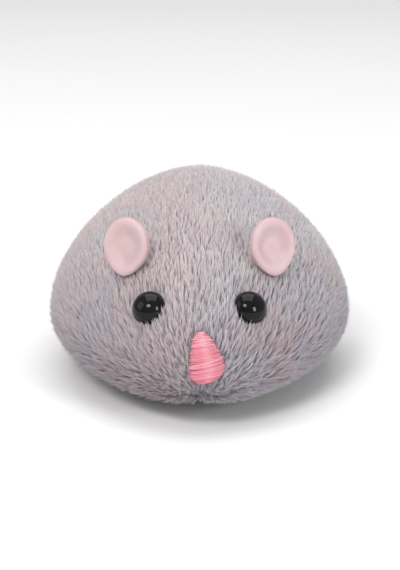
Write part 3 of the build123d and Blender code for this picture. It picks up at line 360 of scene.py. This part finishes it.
def body_point(u, q, inset):
    """Points of the body at station angle u and place q round the section, 0 on the left side,
    0.28 on the crown, 0.56 on the right side, 0.78 under the belly."""
    u, q = np.broadcast_arrays(u, q)
    half_width, crown, belly = section_size(u, inset)
    corner = (CORNER_SHARE - CORNER_FALL * np.sin(u) ** 2) * half_width
    flat = half_width - corner
    power = 2 / DOME_POWER
    part = [(q - a) / (b - a) for a, b in zip(RING_BREAKS, RING_BREAKS[1:])]
    t = np.clip(part[0], 0, 1) * math.pi
    dome_x = half_width * np.sign(np.cos(t)) * np.abs(np.cos(t)) ** power
    dome_z = crown * np.abs(np.sin(t)) ** power
    right_t = np.clip(part[1], 0, 1) * math.pi / 2
    left_t = (1 - np.clip(part[3], 0, 1)) * math.pi / 2
    under = np.clip(part[2], 0, 1)
    x = np.select(
        [q < RING_BREAKS[1], q < RING_BREAKS[2], q < RING_BREAKS[3]],
        [dome_x, -flat - corner * np.cos(right_t), -flat + 2 * flat * under],
        flat + corner * np.cos(left_t),
    )
    z = np.select(
        [q < RING_BREAKS[1], q < RING_BREAKS[2], q < RING_BREAKS[3]],
        [dome_z, -belly * np.sin(right_t), -belly],
        -belly * np.sin(left_t),
    )
    y = -(HALF_LENGTH - inset) * np.cos(u) + WIDEST_BEHIND * np.sin(u) ** 2
    return np.stack([x, y, MID_HEIGHT + z], -1)


def unit(v):
    return v / np.maximum(np.linalg.norm(v, axis=-1, keepdims=True), 1e-12)


def body_frame(u, q, inset):
    """Point, outward normal and backward tangent of the body's surface."""
    step = 2e-3
    here = body_point(u, q, inset)
    behind = body_point(np.clip(u + step, 0, math.pi), q, inset)
    ahead = body_point(np.clip(u - step, 0, math.pi), q, inset)
    back = unit(behind - ahead)
    around = body_point(u, (q + step) % 1.0, inset) - body_point(u, (q - step) % 1.0, inset)
    return here, unit(np.cross(back, around)), back


def dome_at(place, side, inset=0.0):
    """Point and normal at a (station, lift) in degrees, on the left (1) or right (-1)."""
    u = np.array([math.radians(place[0])])
    q = np.array([place[1] / 180 * RING_BREAKS[1]])
    point, normal, _ = body_frame(u, q, inset)
    mirror = np.array([side, 1, 1])
    return Vector(point[0] * mirror), Vector(normal[0] * mirror)


def in_plate(x, y, shrink):
    """Whether points lie inside the base plate's rounded outline, shrunk all round."""
    half_x = PLATE_HIGH.x - shrink
    half_y = (PLATE_HIGH.y - PLATE_LOW.y) / 2 - shrink
    radius = PLATE_CORNER - shrink
    over_x = np.maximum(np.abs(x) - (half_x - radius), 0)
    over_y = np.maximum(np.abs(y - (PLATE_HIGH.y + PLATE_LOW.y) / 2) - (half_y - radius), 0)
    return np.hypot(over_x, over_y) < radius


# ================================================================ mesh helpers
def link(name, mesh, material, body="body"):
    mesh.name = name
    piece = bpy.data.objects.new(name, mesh)
    bpy.context.scene.collection.objects.link(piece)
    mesh.materials.append(material)
    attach(piece, body)
    return piece


def mesh_from_grid(points, keep=None, close_u=False, close_v=False):
    """Quads over a grid of points; keep is a mask of the faces to make."""
    rows, columns = points.shape[:2]
    mesh = bpy.data.meshes.new("grid")
    index = np.arange(rows * columns).reshape(rows, columns)
    a = index if close_u else index[:-1]
    b = np.roll(index, -1, 0) if close_u else index[1:]
    if close_v:
        quads = np.stack([a, np.roll(a, -1, 1), np.roll(b, -1, 1), b], -1)
    else:
        quads = np.stack([a[:, :-1], a[:, 1:], b[:, 1:], b[:, :-1]], -1)
    if keep is not None:
        quads = quads[keep]
    mesh.from_pydata(points.reshape(-1, 3).tolist(), [], quads.reshape(-1, 4).tolist())
    return mesh


def clean(mesh, smooth=True):
    """Merge doubled points, drop loose ones and point every face outwards."""
    bm = bmesh.new()
    bm.from_mesh(mesh)
    bmesh.ops.remove_doubles(bm, verts=bm.verts, dist=0.004 * MM)
    bmesh.ops.delete(bm, geom=[v for v in bm.verts if not v.link_faces], context="VERTS")
    bmesh.ops.recalc_face_normals(bm, faces=bm.faces)
    for face in bm.faces:
        face.smooth = smooth
    bm.to_mesh(mesh)
    bm.free()
    return mesh


def tube_mesh(name, paths, radii, sides):
    """Round tubes with closed ends along paths of one length each; radii per path point."""
    mesh = bpy.data.meshes.new(name)
    verts, faces = [], []
    turn = np.linspace(0, 2 * math.pi, sides, endpoint=False)
    for path, radius in zip(paths, radii):
        path = np.asarray(path)
        heading = unit(np.gradient(path, axis=0))
        side = unit(np.cross(heading, np.array([0.0, -1.0, 0.3])))
        up = np.cross(side, heading)
        base = len(verts)
        for p, s, w, r in zip(path, side, up, radius):
            verts.extend((p + r * (math.cos(a) * s + math.sin(a) * w)).tolist() for a in turn)
        for row in range(len(path) - 1):
            for k in range(sides):
                a, b = base + row * sides + k, base + row * sides + (k + 1) % sides
                faces.append((a, b, b + sides, a + sides))
        faces.append(tuple(range(base + sides - 1, base - 1, -1)))
        last = base + (len(path) - 1) * sides
        faces.append(tuple(range(last, last + sides)))
    mesh.from_pydata(verts, [], faces)
    return mesh


# ================================================================ plush
FIBRE_LOOK = plush_fibre()
BACKING_LOOK = plush_backing()
EYES = [dome_at(EYE_AT, side) for side in (1, -1)]
EARS = [dome_at(EAR_AT, side) for side in (1, -1)]


def nose_span(z):
    """Left and right edge of the nose patch at a height, in metres: it widens downwards."""
    share = np.clip((NOSE_TOP - z) / (NOSE_TOP - NOSE_BOTTOM), 0, 1)
    round_end = np.sqrt(np.clip(1 - ((share - 0.5) / 0.5) ** 6, 0, 1))
    left = (-1.3 - 0.65 * np.sin(share * 0.6 * math.pi)) * MM
    right = (1.6 + 3.1 * np.sin(share * 0.62 * math.pi) ** 1.3) * MM
    middle = (left + right) / 2
    return middle + (left - middle) * round_end, middle + (right - middle) * round_end


def bare_patch(points, normals):
    """Where no fibre grows: under the plate, the eyes, the ears' feet, the nose, the knob and the tail."""
    x, y, z = points.T
    bare = in_plate(x, y, 0.3 * MM) & (normals[:, 2] < -0.2)
    for centre, _ in EYES:
        bare |= np.linalg.norm(points - np.array(centre), axis=1) < 0.93 * EYE_RADIUS
    for centre, _ in EARS:
        bare |= np.linalg.norm(points - np.array(centre), axis=1) < 1.0 * MM
    left, right = nose_span(z)
    inside = (x > left + 0.1 * MM) & (x < right - 0.1 * MM) & (z > NOSE_BOTTOM) & (z < NOSE_TOP)
    bare |= inside & (y < -0.6 * HALF_LENGTH)
    knob = np.hypot(y - KNOB_CENTRE.y, z - KNOB_CENTRE.z) < KNOB_RADIUS + OPENING_GAP
    bare |= knob & (x < 0)
    bare |= (np.hypot(x, z - MID_HEIGHT) < 1.9 * MM) & (y > 0.8 * HALF_LENGTH)
    return bare


def scatter(count, inset):
    """Random places on the body, even by area, with their normals and backward tangents."""
    found_u, found_q = [], []
    have = 0
    while have < count:
        u = rng.uniform(0.03, math.pi - 0.03, count * 2)
        q = rng.uniform(0, 1, count * 2)
        step = 1e-3
        across = body_point(u, (q + step) % 1, inset) - body_point(u, (q - step) % 1, inset)
        along = body_point(u + step, q, inset) - body_point(u - step, q, inset)
        area = np.linalg.norm(np.cross(across, along), axis=1)
        keep = rng.uniform(0, 1, count * 2) < area / np.percentile(area, 99.5)
        found_u.append(u[keep])
        found_q.append(q[keep])
        have += int(keep.sum())
    u = np.concatenate(found_u)[:count]
    q = np.concatenate(found_q)[:count]
    point, normal, back = body_frame(u, q, inset)
    return u, point, normal, back


def lay_of_pile(u, normal, back):
    """Which way the pile lies: back from the nose, and brushed up over the face and cheeks."""
    front = np.clip((1.9 - u) / 0.9, 0, 1)[:, None]
    tip = np.clip(u / 0.55, 0, 1)[:, None]
    lay = back * tip + np.array([0.0, 0.0, 1.0]) * (0.2 + 1.5 * front)
    return unit(lay - normal * (lay * normal).sum(1, keepdims=True))


def grow_pile():
    """All fibres as curved three-sided spikes, gathered into clumps by their tips."""
    clump_count = int(FIBRES * CLUMP_SHARE)
    cu, cp, cn, cb = scatter(clump_count, PILE_DEPTH)
    clay = lay_of_pile(cu, cn, cb)
    swirl = rng.normal(0, 0.26, (clump_count, 1))
    clay = unit(clay + np.cross(cn, clay) * swirl)
    face = np.clip((1.45 - cu) / 0.5, 0, 1)[:, None]
    height = PILE_DEPTH * rng.uniform(0.80, 1.22, (clump_count, 1))
    reach = (REACH + FACE_REACH * face) * rng.uniform(0.75, 1.3, (clump_count, 1))
    clump_tip = cp + cn * height + clay * reach
    clump_tone = rng.uniform(0, 1, clump_count)
    tree = KDTree(clump_count)
    for i, p in enumerate(cp):
        tree.insert(p, i)
    tree.balance()

    u, root, normal, back = scatter(FIBRES, PILE_DEPTH)
    bare = bare_patch(root + normal * PILE_DEPTH, normal)
    u, root, normal, back = u[~bare], root[~bare], normal[~bare], back[~bare]
    count = len(u)
    owner = np.array([tree.find(p)[1] for p in root])
    lay = unit(lay_of_pile(u, normal, back) + rng.normal(0, 0.16, (count, 3)))
    face = np.clip((1.45 - u) / 0.5, 0, 1)[:, None]
    own_tip = root + normal * PILE_DEPTH * rng.uniform(0.8, 1.25, (count, 1))
    own_tip += lay * (REACH + FACE_REACH * face) * rng.uniform(0.65, 1.4, (count, 1))
    pull = np.clip(0.30 + 0.38 * face + rng.normal(0, 0.14, (count, 1)), 0.0, 0.92)
    offset = unit(rng.normal(0, 1, (count, 3))) * rng.uniform(0, 0.16 * MM, (count, 1))
    tip = own_tip * (1 - pull) + (clump_tip[owner] + offset) * pull

    # Fibres next to an eye stay short, so that they frame it.
    shorten = np.ones((count, 1))
    for centre, _ in EYES:
        gap = np.linalg.norm(root - np.array(centre), axis=1) - EYE_RADIUS
        shorten[:, 0] = np.minimum(shorten[:, 0], np.clip(0.5 + gap / (2.6 * MM), 0.45, 1.0))
    tip = root + (tip - root) * shorten
    return u, root, tip, normal, owner, clump_tone


def spike_arrays(root, tip, normal):
    """Vertices (fibre, 7, 3): a triangle at the root, one at mid-length and the tip."""
    count = len(root)
    way = tip - root
    rise = (way * normal).sum(1, keepdims=True)
    middle = root + way * 0.5 + normal * rise * 0.17
    side = unit(np.cross(way, normal) + rng.normal(0, 1e-7, (count, 3)))
    other = unit(np.cross(way, side))
    width = FIBRE_RADIUS * rng.uniform(0.75, 1.3, (count, 1))
    spin = rng.uniform(0, 2 * math.pi, (count, 1))
    verts = np.empty((count, 7, 3))
    lean = np.empty((count, 7, 3))
    for k in range(3):
        angle = spin + 2 * math.pi * k / 3
        out = side * np.cos(angle) + other * np.sin(angle)
        verts[:, k] = root + out * width
        verts[:, 3 + k] = middle + out * width * 0.85
        lean[:, k] = out
        lean[:, 3 + k] = out
    verts[:, 6] = tip
    lean[:, 6] = unit(way)
    shading = unit(normal[:, None, :] * 0.75 + lean * 0.55)
    return verts, shading


def pile_piece(name, root, tip, normal, tone, own):
    """One mesh of fibres, with its shading normals, fibre colours and a map for baking."""
    count = len(root)
    verts, shading = spike_arrays(root, tip, normal)
    quads = np.array([[0, 1, 4, 3], [1, 2, 5, 4], [2, 0, 3, 5]])
    tris = np.array([[3, 4, 6], [4, 5, 6], [5, 3, 6]])
    base = (np.arange(count) * 7)[:, None, None]
    loops = np.concatenate([(quads + base).reshape(count, -1), (tris + base).reshape(count, -1)], 1)
    sizes = np.tile([4, 4, 4, 3, 3, 3], count)
    mesh = bpy.data.meshes.new(name)
    mesh.vertices.add(count * 7)
    mesh.vertices.foreach_set("co", verts.ravel())
    mesh.loops.add(loops.size)
    mesh.loops.foreach_set("vertex_index", loops.ravel())
    mesh.polygons.add(len(sizes))
    mesh.polygons.foreach_set("loop_start", np.concatenate([[0], np.cumsum(sizes)[:-1]]))
    mesh.polygons.foreach_set("use_smooth", np.ones(len(sizes), bool))
    mesh.update(calc_edges=True)

    fibre = mesh.color_attributes.new("fibre", "FLOAT_COLOR", "POINT")
    colour = np.ones((count, 7, 4))
    colour[:, :3, 0], colour[:, 3:6, 0], colour[:, 6, 0] = 0.0, 0.55, 1.0
    colour[:, :, 1] = own[:, None]
    colour[:, :, 2] = tone[:, None]
    fibre.data.foreach_set("color", colour.ravel())

    cells = math.ceil(math.sqrt(count))
    corner = np.stack([np.arange(count) % cells, np.arange(count) // cells], 1)[:, None, :]
    local = np.array([[0.1, 0.1], [0.5, 0.1], [0.9, 0.1], [0.1, 0.5], [0.5, 0.5], [0.9, 0.5], [0.5, 0.9]])
    place = (corner + local) / cells
    uv = mesh.uv_layers.new(name="OFBake")
    uv.data.foreach_set("uv", place.reshape(-1, 2)[loops.ravel()].ravel())
    mesh.normals_split_custom_set_from_vertices(shading.reshape(-1, 3))
    return link(name, mesh, FIBRE_LOOK)


def plush_skin(side, name):
    """Backing of one half of the plush, open at the base plate and at the knob."""
    rows = np.linspace(0.0, math.pi, 150)
    left_half = np.concatenate([np.linspace(0.78, 1.0, 46)[:-1], np.linspace(0.0, 0.28, 60)])
    q = left_half[None, :] % 1.0
    points = body_point(rows[:, None], q, PILE_DEPTH)
    points[:, :, 0] *= side
    points[:, (0, -1), 0] = 0.0
    centre = (points[1:, 1:] + points[:-1, :-1]) / 2
    x, y, z = np.moveaxis(centre, -1, 0)
    keep = ~(in_plate(x, y, 0.8 * MM) & (z < PLATE_HIGH.z + 1.5 * MM))
    knob = (np.hypot(y - KNOB_CENTRE.y, z - KNOB_CENTRE.z) < KNOB_RADIUS + OPENING_GAP) & (x < 0)
    mesh = clean(mesh_from_grid(points, keep & ~knob))
    piece = link(name, mesh, BACKING_LOOK)
    thick = piece.modifiers.new("backing", "SOLIDIFY")
    thick.thickness = 0.5 * MM
    thick.offset = -1.0
    return piece


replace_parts(plush_skin(1, "plush_backing_left"), "plush_left")
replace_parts(plush_skin(-1, "plush_backing_right"), "plush_right")

fibre_u, fibre_root, fibre_tip, fibre_normal, fibre_owner, tuft_tone = grow_pile()
fibre_order = np.argsort(fibre_root[:, 1], kind="stable")
fibre_own = rng.uniform(0, 1, len(fibre_u))
for number, start in enumerate(range(0, len(fibre_order), PIECE_FIBRES)):
    chosen = fibre_order[start:start + PIECE_FIBRES]
    pile_piece(
        f"plush_pile_{number + 1}",
        fibre_root[chosen],
        fibre_tip[chosen],
        fibre_normal[chosen],
        tuft_tone[fibre_owner[chosen]],
        fibre_own[chosen],
    )


# ================================================================ eyes
def lathe(profile, point, normal, segments):
    """Surface of revolution about a normal through a point; profile is (radius, height)."""
    turn = np.linspace(0, 2 * math.pi, segments, endpoint=False)
    axis = normal.normalized()
    side = axis.orthogonal().normalized()
    other = axis.cross(side)
    rows = []
    for radius, height in profile:
        rows.append([
            point + axis * height + (side * math.cos(a) + other * math.sin(a)) * radius for a in turn
        ])
    return clean(mesh_from_grid(np.array([[list(p) for p in row] for row in rows]), close_v=True))


def eye_profile():
    """Dome, rounded edge, flat back, ridged stem."""
    dome = []
    for step in range(19):
        a = math.radians(90 * step / 18)
        dome.append((EYE_RADIUS * math.sin(a), -0.8 * MM + 2.75 * MM * math.cos(a)))
    stem = [(EYE_RADIUS * 0.97, -1.25 * MM), (EYE_RADIUS * 0.8, -1.5 * MM), (1.3 * MM, -1.55 * MM)]
    for ridge in range(5):
        height = -2.4 * MM - ridge * 1.0 * MM
        stem.extend([(1.3 * MM, height), (1.12 * MM, height - 0.15 * MM), (1.12 * MM, height - 0.75 * MM)])
    stem.append((0.0, -7.6 * MM))
    return dome + stem


BEAD_LOOK = black_bead()
for (eye_point, eye_normal), eye_name in zip(EYES, ("left_eye", "right_eye")):
    eye_mesh = lathe(eye_profile(), eye_point, eye_normal, 72)
    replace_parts(link(eye_name + "_bead", eye_mesh, BEAD_LOOK), eye_name)


# ================================================================ ears
VINYL_PINK = (0.580, 0.450, 0.460)
VINYL_LOOK = soft_vinyl("soft_vinyl", VINYL_PINK)


def ear_edge(angle):
    """Point of the ear's outline, as shares of half-width and half-height: an oval with a narrower foot."""
    c, s = math.cos(angle), math.sin(angle)
    narrow = 1 - 0.24 * max(0.0, -s) ** 1.5
    return c * narrow, s


def ear_mesh(side, point):
    """Thick cupped oval with a rounded rim, turned outwards so that its inner wall shows."""
    facing = Vector((EAR_FACING[0] * side, EAR_FACING[1], EAR_FACING[2])).normalized()
    across = Vector((0, 0, 1)).cross(facing).normalized()
    upward = facing.cross(across).normalized()
    middle = point - across * side * EAR_INWARD * math.copysign(1, across.x) + upward * EAR_HEIGHT * 0.5
    half = EAR_THICK / 2
    edge = 0.5 * MM

    def ring(share, depth, inset=0.0):
        """Loop at a share of the outline, moved in by inset, at a depth along the facing."""
        row = []
        for k in range(96):
            x, y = ear_edge(2 * math.pi * k / 96)
            x *= (EAR_HALF_WIDTH - inset) * share
            y *= (EAR_HEIGHT / 2 - inset) * share
            # The rim folds a little forwards on the ear's outer side.
            fold = 0.45 * MM * (0.5 + 0.5 * side * x * math.copysign(1, across.x) / EAR_HALF_WIDTH)
            row.append(list(middle + across * x + upward * y + facing * (depth + fold)))
        return row

    rows = [ring(share, half - EAR_DISH) for share in (0.02, 0.12, 0.24, 0.34)]
    for step in range(1, 11):
        share = step / 10
        depth = half - EAR_DISH * (0.5 + 0.5 * math.cos(math.pi * share))
        rows.append(ring(0.34 + 0.49 * share, depth))
    for step in range(1, 7):
        turn = math.pi / 2 * step / 6
        rows.append(ring(0.83 + 0.17 * math.sin(turn), half - edge * (1 - math.cos(turn))))
    for step in range(1, 9):
        turn = math.pi / 2 * step / 8
        rows.append(ring(1.0, -half * 0.1 - half * 0.9 * math.sin(turn), 1.4 * MM * (1 - math.cos(turn))))
    rows.extend(ring(share, -half - 0.1 * MM, 1.4 * MM) for share in (0.8, 0.5, 0.2, 0.02))
    return clean(mesh_from_grid(np.array(rows), close_v=True))


def ear_stem(point, normal):
    """Stem and flange under the ear, down through the pile to the washer."""
    profile = [
        (0.0, -0.9 * MM), (1.1 * MM, -0.95 * MM), (1.3 * MM, -1.05 * MM), (1.3 * MM, -1.2 * MM),
        (2.6 * MM, -1.35 * MM), (2.7 * MM, -1.6 * MM), (1.3 * MM, -1.75 * MM), (1.3 * MM, -7.5 * MM),
        (0.0, -7.6 * MM),
    ]
    return lathe(profile, point, normal, 48)


for (ear_point, ear_normal), side, ear_name in zip(EARS, (1, -1), ("left_ear", "right_ear")):
    blade = link(ear_name + "_cup", ear_mesh(side, ear_point), VINYL_LOOK)
    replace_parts(blade, ear_name)
    link(ear_name + "_stem", ear_stem(ear_point, ear_normal), VINYL_LOOK)


# ================================================================ nose
def body_tree(inset):
    """The body's surface for casting rays."""
    grid = body_point(np.linspace(0, math.pi, 160)[:, None], np.linspace(0, 1, 260)[None, :] % 1.0, inset)
    rows, columns = grid.shape[:2]
    index = np.arange(rows * columns).reshape(rows, columns)
    quads = np.stack([index[:-1, :-1], index[:-1, 1:], index[1:, 1:], index[1:, :-1]], -1).reshape(-1, 4)
    return BVHTree.FromPolygons(grid.reshape(-1, 3).tolist(), quads.tolist())


SNOUT = body_tree(0.0)


def on_snout(x, z, lift):
    """Point over the snout's surface, seen from the front at (x, z)."""
    hit, normal, _, _ = SNOUT.ray_cast(Vector((x, -0.2, z)), Vector((0, 1, 0)))
    if normal.y > 0:
        normal = -normal
    return np.array(hit + normal * lift)


def nose_threads():
    """Rows of satin stitches that cross the patch, rising to the left side, crowned in the middle."""
    paths, radii, tones = [], [], []
    slope = 0.16
    for layer, (lift, count) in enumerate(((0.02 * MM, STITCHES - 4), (0.32 * MM, STITCHES))):
        for row in range(count):
            z = NOSE_TOP - 0.25 * MM - (NOSE_TOP - NOSE_BOTTOM - 0.5 * MM) * row / (count - 1)
            left, right = nose_span(np.array([z]))
            start = left[0] + rng.uniform(-0.18, 0.12) * MM
            end = right[0] + rng.uniform(-0.12, 0.18) * MM
            tilt = slope + rng.normal(0, 0.025)
            path = []
            for s in np.linspace(0, 1, THREAD_POINTS):
                x = start + (end - start) * s
                height = z + tilt * (x - (start + end) / 2) + 0.05 * MM * math.sin(3 * s + row)
                crown = lift + 0.38 * MM * (1 - (2 * s - 1) ** 4) - 0.45 * MM * (2 * s - 1) ** 8
                path.append(on_snout(x, height, crown))
            paths.append(np.array(path))
            shape = 1 - 0.45 * np.abs(np.linspace(-1, 1, THREAD_POINTS)) ** 6
            radii.append(THREAD_RADIUS * rng.uniform(0.85, 1.12) * shape)
            # The lower layer gets the darkest pink, painted shade in the gaps between the upper stitches; the
            # upper stitches vary in tone at random.
            tones.append(rng.uniform(0.15, 0.75) if layer else 0.1)
    return paths, radii, tones


THREAD_LOOK = satin_thread()
thread_paths, thread_radii, thread_tones = nose_threads()
thread_mesh = tube_mesh("nose_threads", thread_paths, thread_radii, THREAD_SIDES)
thread_mesh.polygons.foreach_set("use_smooth", np.ones(len(thread_mesh.polygons), bool))
stitch = thread_mesh.color_attributes.new("stitch", "FLOAT_COLOR", "POINT")
stitch_colour = np.ones((len(thread_tones), THREAD_POINTS * THREAD_SIDES, 4))
# Painted highlight: each stitch gets a lighter band along its middle, on top of its own random tone.
painted_sheen = 0.32 * np.exp(-((np.linspace(-1, 1, THREAD_POINTS) - 0.1) / 0.32) ** 2)
stitch_tone_and_sheen = np.array(thread_tones)[:, None] + np.repeat(painted_sheen, THREAD_SIDES)[None, :]
stitch_colour[:, :, 0] = np.clip(stitch_tone_and_sheen, 0, 1)
stitch.data.foreach_set("color", stitch_colour.ravel())
nose = link("nose_stitching", thread_mesh, THREAD_LOOK)
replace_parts(nose, "nose_embroidery")


# ================================================================ tyres
TYRE_RUBBER = tyre_rubber()


def tyre_mesh(cad_tyre):
    """Rubber tyre with cross grooves, in the place of the CAD's plain one."""
    low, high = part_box(cad_tyre)
    middle = (low + high) / 2
    half, outer = (high.x - low.x) / 2, (high.z - low.z) / 2
    profile = (
        (outer - TYRE_WALL, -half), (outer - TYRE_EDGE, -half),
        (outer - TYRE_EDGE * 0.3, -half + TYRE_EDGE * 0.3), (outer, -half + TYRE_EDGE),
        (outer, half - TYRE_EDGE), (outer - TYRE_EDGE * 0.3, half - TYRE_EDGE * 0.3),
        (outer - TYRE_EDGE, half), (outer - TYRE_WALL, half),
    )
    rows = []
    for step in range(TREADS * TREAD_STEPS):
        angle = 2 * math.pi * (step + 0.5) / (TREADS * TREAD_STEPS)
        depth = TREAD_DEPTH if step % TREAD_STEPS < GROOVE_STEPS else 0.0
        row = []
        for radius, across in profile:
            reach = min(radius, outer - depth)
            y, z = middle.y + reach * math.sin(angle), middle.z - reach * math.cos(angle)
            row.append((middle.x + across, y, z))
        rows.append(row)
    return clean(mesh_from_grid(np.array(rows), close_u=True, close_v=True), smooth=False)


for cad_tyre in ("left_tyre", "right_tyre"):
    tyre = link(cad_tyre + "_tread", tyre_mesh(cad_tyre), TYRE_RUBBER, "drive_axle")
    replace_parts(tyre, cad_tyre)


# ================================================================ materials of the CAD pieces
LOOKS = {
    "soft_vinyl": VINYL_LOOK,
    "washer_white": moulded_plastic("washer_white", (0.72, 0.72, 0.70), 0.45),
    "shell_grey": moulded_plastic("shell_grey", (0.24, 0.23, 0.24), 0.50),
    "base_grey": moulded_plastic("base_grey", (0.17, 0.165, 0.175), 0.48, 5200.0, 0.05 * MM),
    "motor_case": moulded_plastic("motor_case", (0.70, 0.69, 0.65), 0.40),
    "gear_acetal": moulded_plastic("gear_acetal", (0.78, 0.75, 0.64), 0.32),
    "spring_steel": turned_steel("spring_steel", (0.20, 0.22, 0.27), 0.34, (0.05, 1.0, 1.0)),
    "steel": turned_steel("steel", (0.56, 0.56, 0.57), 0.28),
    "screw_steel": turned_steel("screw_steel", (0.50, 0.50, 0.49), 0.36, (1.0, 1.0, 0.1)),
    "wheel_plastic": moulded_plastic("wheel_plastic", (0.055, 0.055, 0.06), 0.34),
    "knob_plastic": moulded_plastic("knob_plastic", (0.70, 0.66, 0.64), 0.30),
}
for entry in frame["record"]["subparts"]:
    node = frame["nodes"][entry["node"]]
    look = LOOKS.get(entry["material_slot"])
    if look is not None:
        node.data.materials.clear()
        node.data.materials.append(look)


# ================================================================ stage, light and camera
def pale_floor():
    material, tree, shader = new_material("pale_floor")
    tree.links.new(
        ramp(tree, noise(tree, 8.0), ((0.0, (0.86, 0.86, 0.86)), (1.0, (0.90, 0.90, 0.90)))),
        shader.inputs["Base Color"],
    )
    shader.inputs["Roughness"].default_value = 0.85
    return material


bpy.ops.mesh.primitive_plane_add(size=24.0, location=(0, 0, -0.05 * MM))
floor = bpy.context.object
floor.name = "floor"
floor.data.materials.append(pale_floor())


def softbox(name, place, aim, width, height, power, colour):
    data = bpy.data.lights.new(name, "AREA")
    data.shape = "RECTANGLE"
    data.size, data.size_y = width, height
    data.energy = power
    data.color = colour
    lamp = bpy.data.objects.new(name, data)
    bpy.context.scene.collection.objects.link(lamp)
    lamp.location = place
    lamp.rotation_mode = "QUATERNION"
    lamp.rotation_quaternion = (Vector(aim) - Vector(place)).to_track_quat("-Z", "Y")


softbox("key", (-0.25, -0.60, 0.60), (0, 0, 0.02), 0.30, 0.22, 3.2, (1.0, 0.99, 0.98))
softbox("fill_right", (0.55, -0.60, 0.30), (0, 0, 0.02), 0.22, 0.30, 2.9, (0.98, 0.99, 1.0))
softbox("fill_left", (-0.75, -0.15, 0.40), (0, 0, 0.02), 0.5, 0.5, 1.2, (1.0, 0.98, 0.98))
softbox("top", (0.0, 0.15, 0.9), (0, 0, 0.02), 0.9, 0.9, 5.6, (1.0, 1.0, 1.0))

world = bpy.data.worlds.new("studio")
world.use_nodes = True
world.node_tree.nodes["Background"].inputs["Color"].default_value = (1.0, 1.0, 1.0, 1.0)
world.node_tree.nodes["Background"].inputs["Strength"].default_value = 0.36
bpy.context.scene.world = world

bpy.context.scene.view_settings.view_transform = "Standard"

CAMERA_DISTANCE = 0.350
CAMERA_ELEVATION = math.radians(17)
CAMERA_AIM = Vector((0.0001, 0, 0.0171))
camera_data = bpy.data.cameras.new("camera")
camera_data.sensor_width = 36.0
camera_data.lens = 107.2
camera = bpy.data.objects.new("camera", camera_data)
bpy.context.scene.collection.objects.link(camera)
camera_back = Vector((0, -math.cos(CAMERA_ELEVATION), math.sin(CAMERA_ELEVATION)))
camera.location = CAMERA_AIM + camera_back * CAMERA_DISTANCE
camera.rotation_mode = "QUATERNION"
camera.rotation_quaternion = (-camera_back).to_track_quat("-Z", "Y")
bpy.context.scene.camera = camera
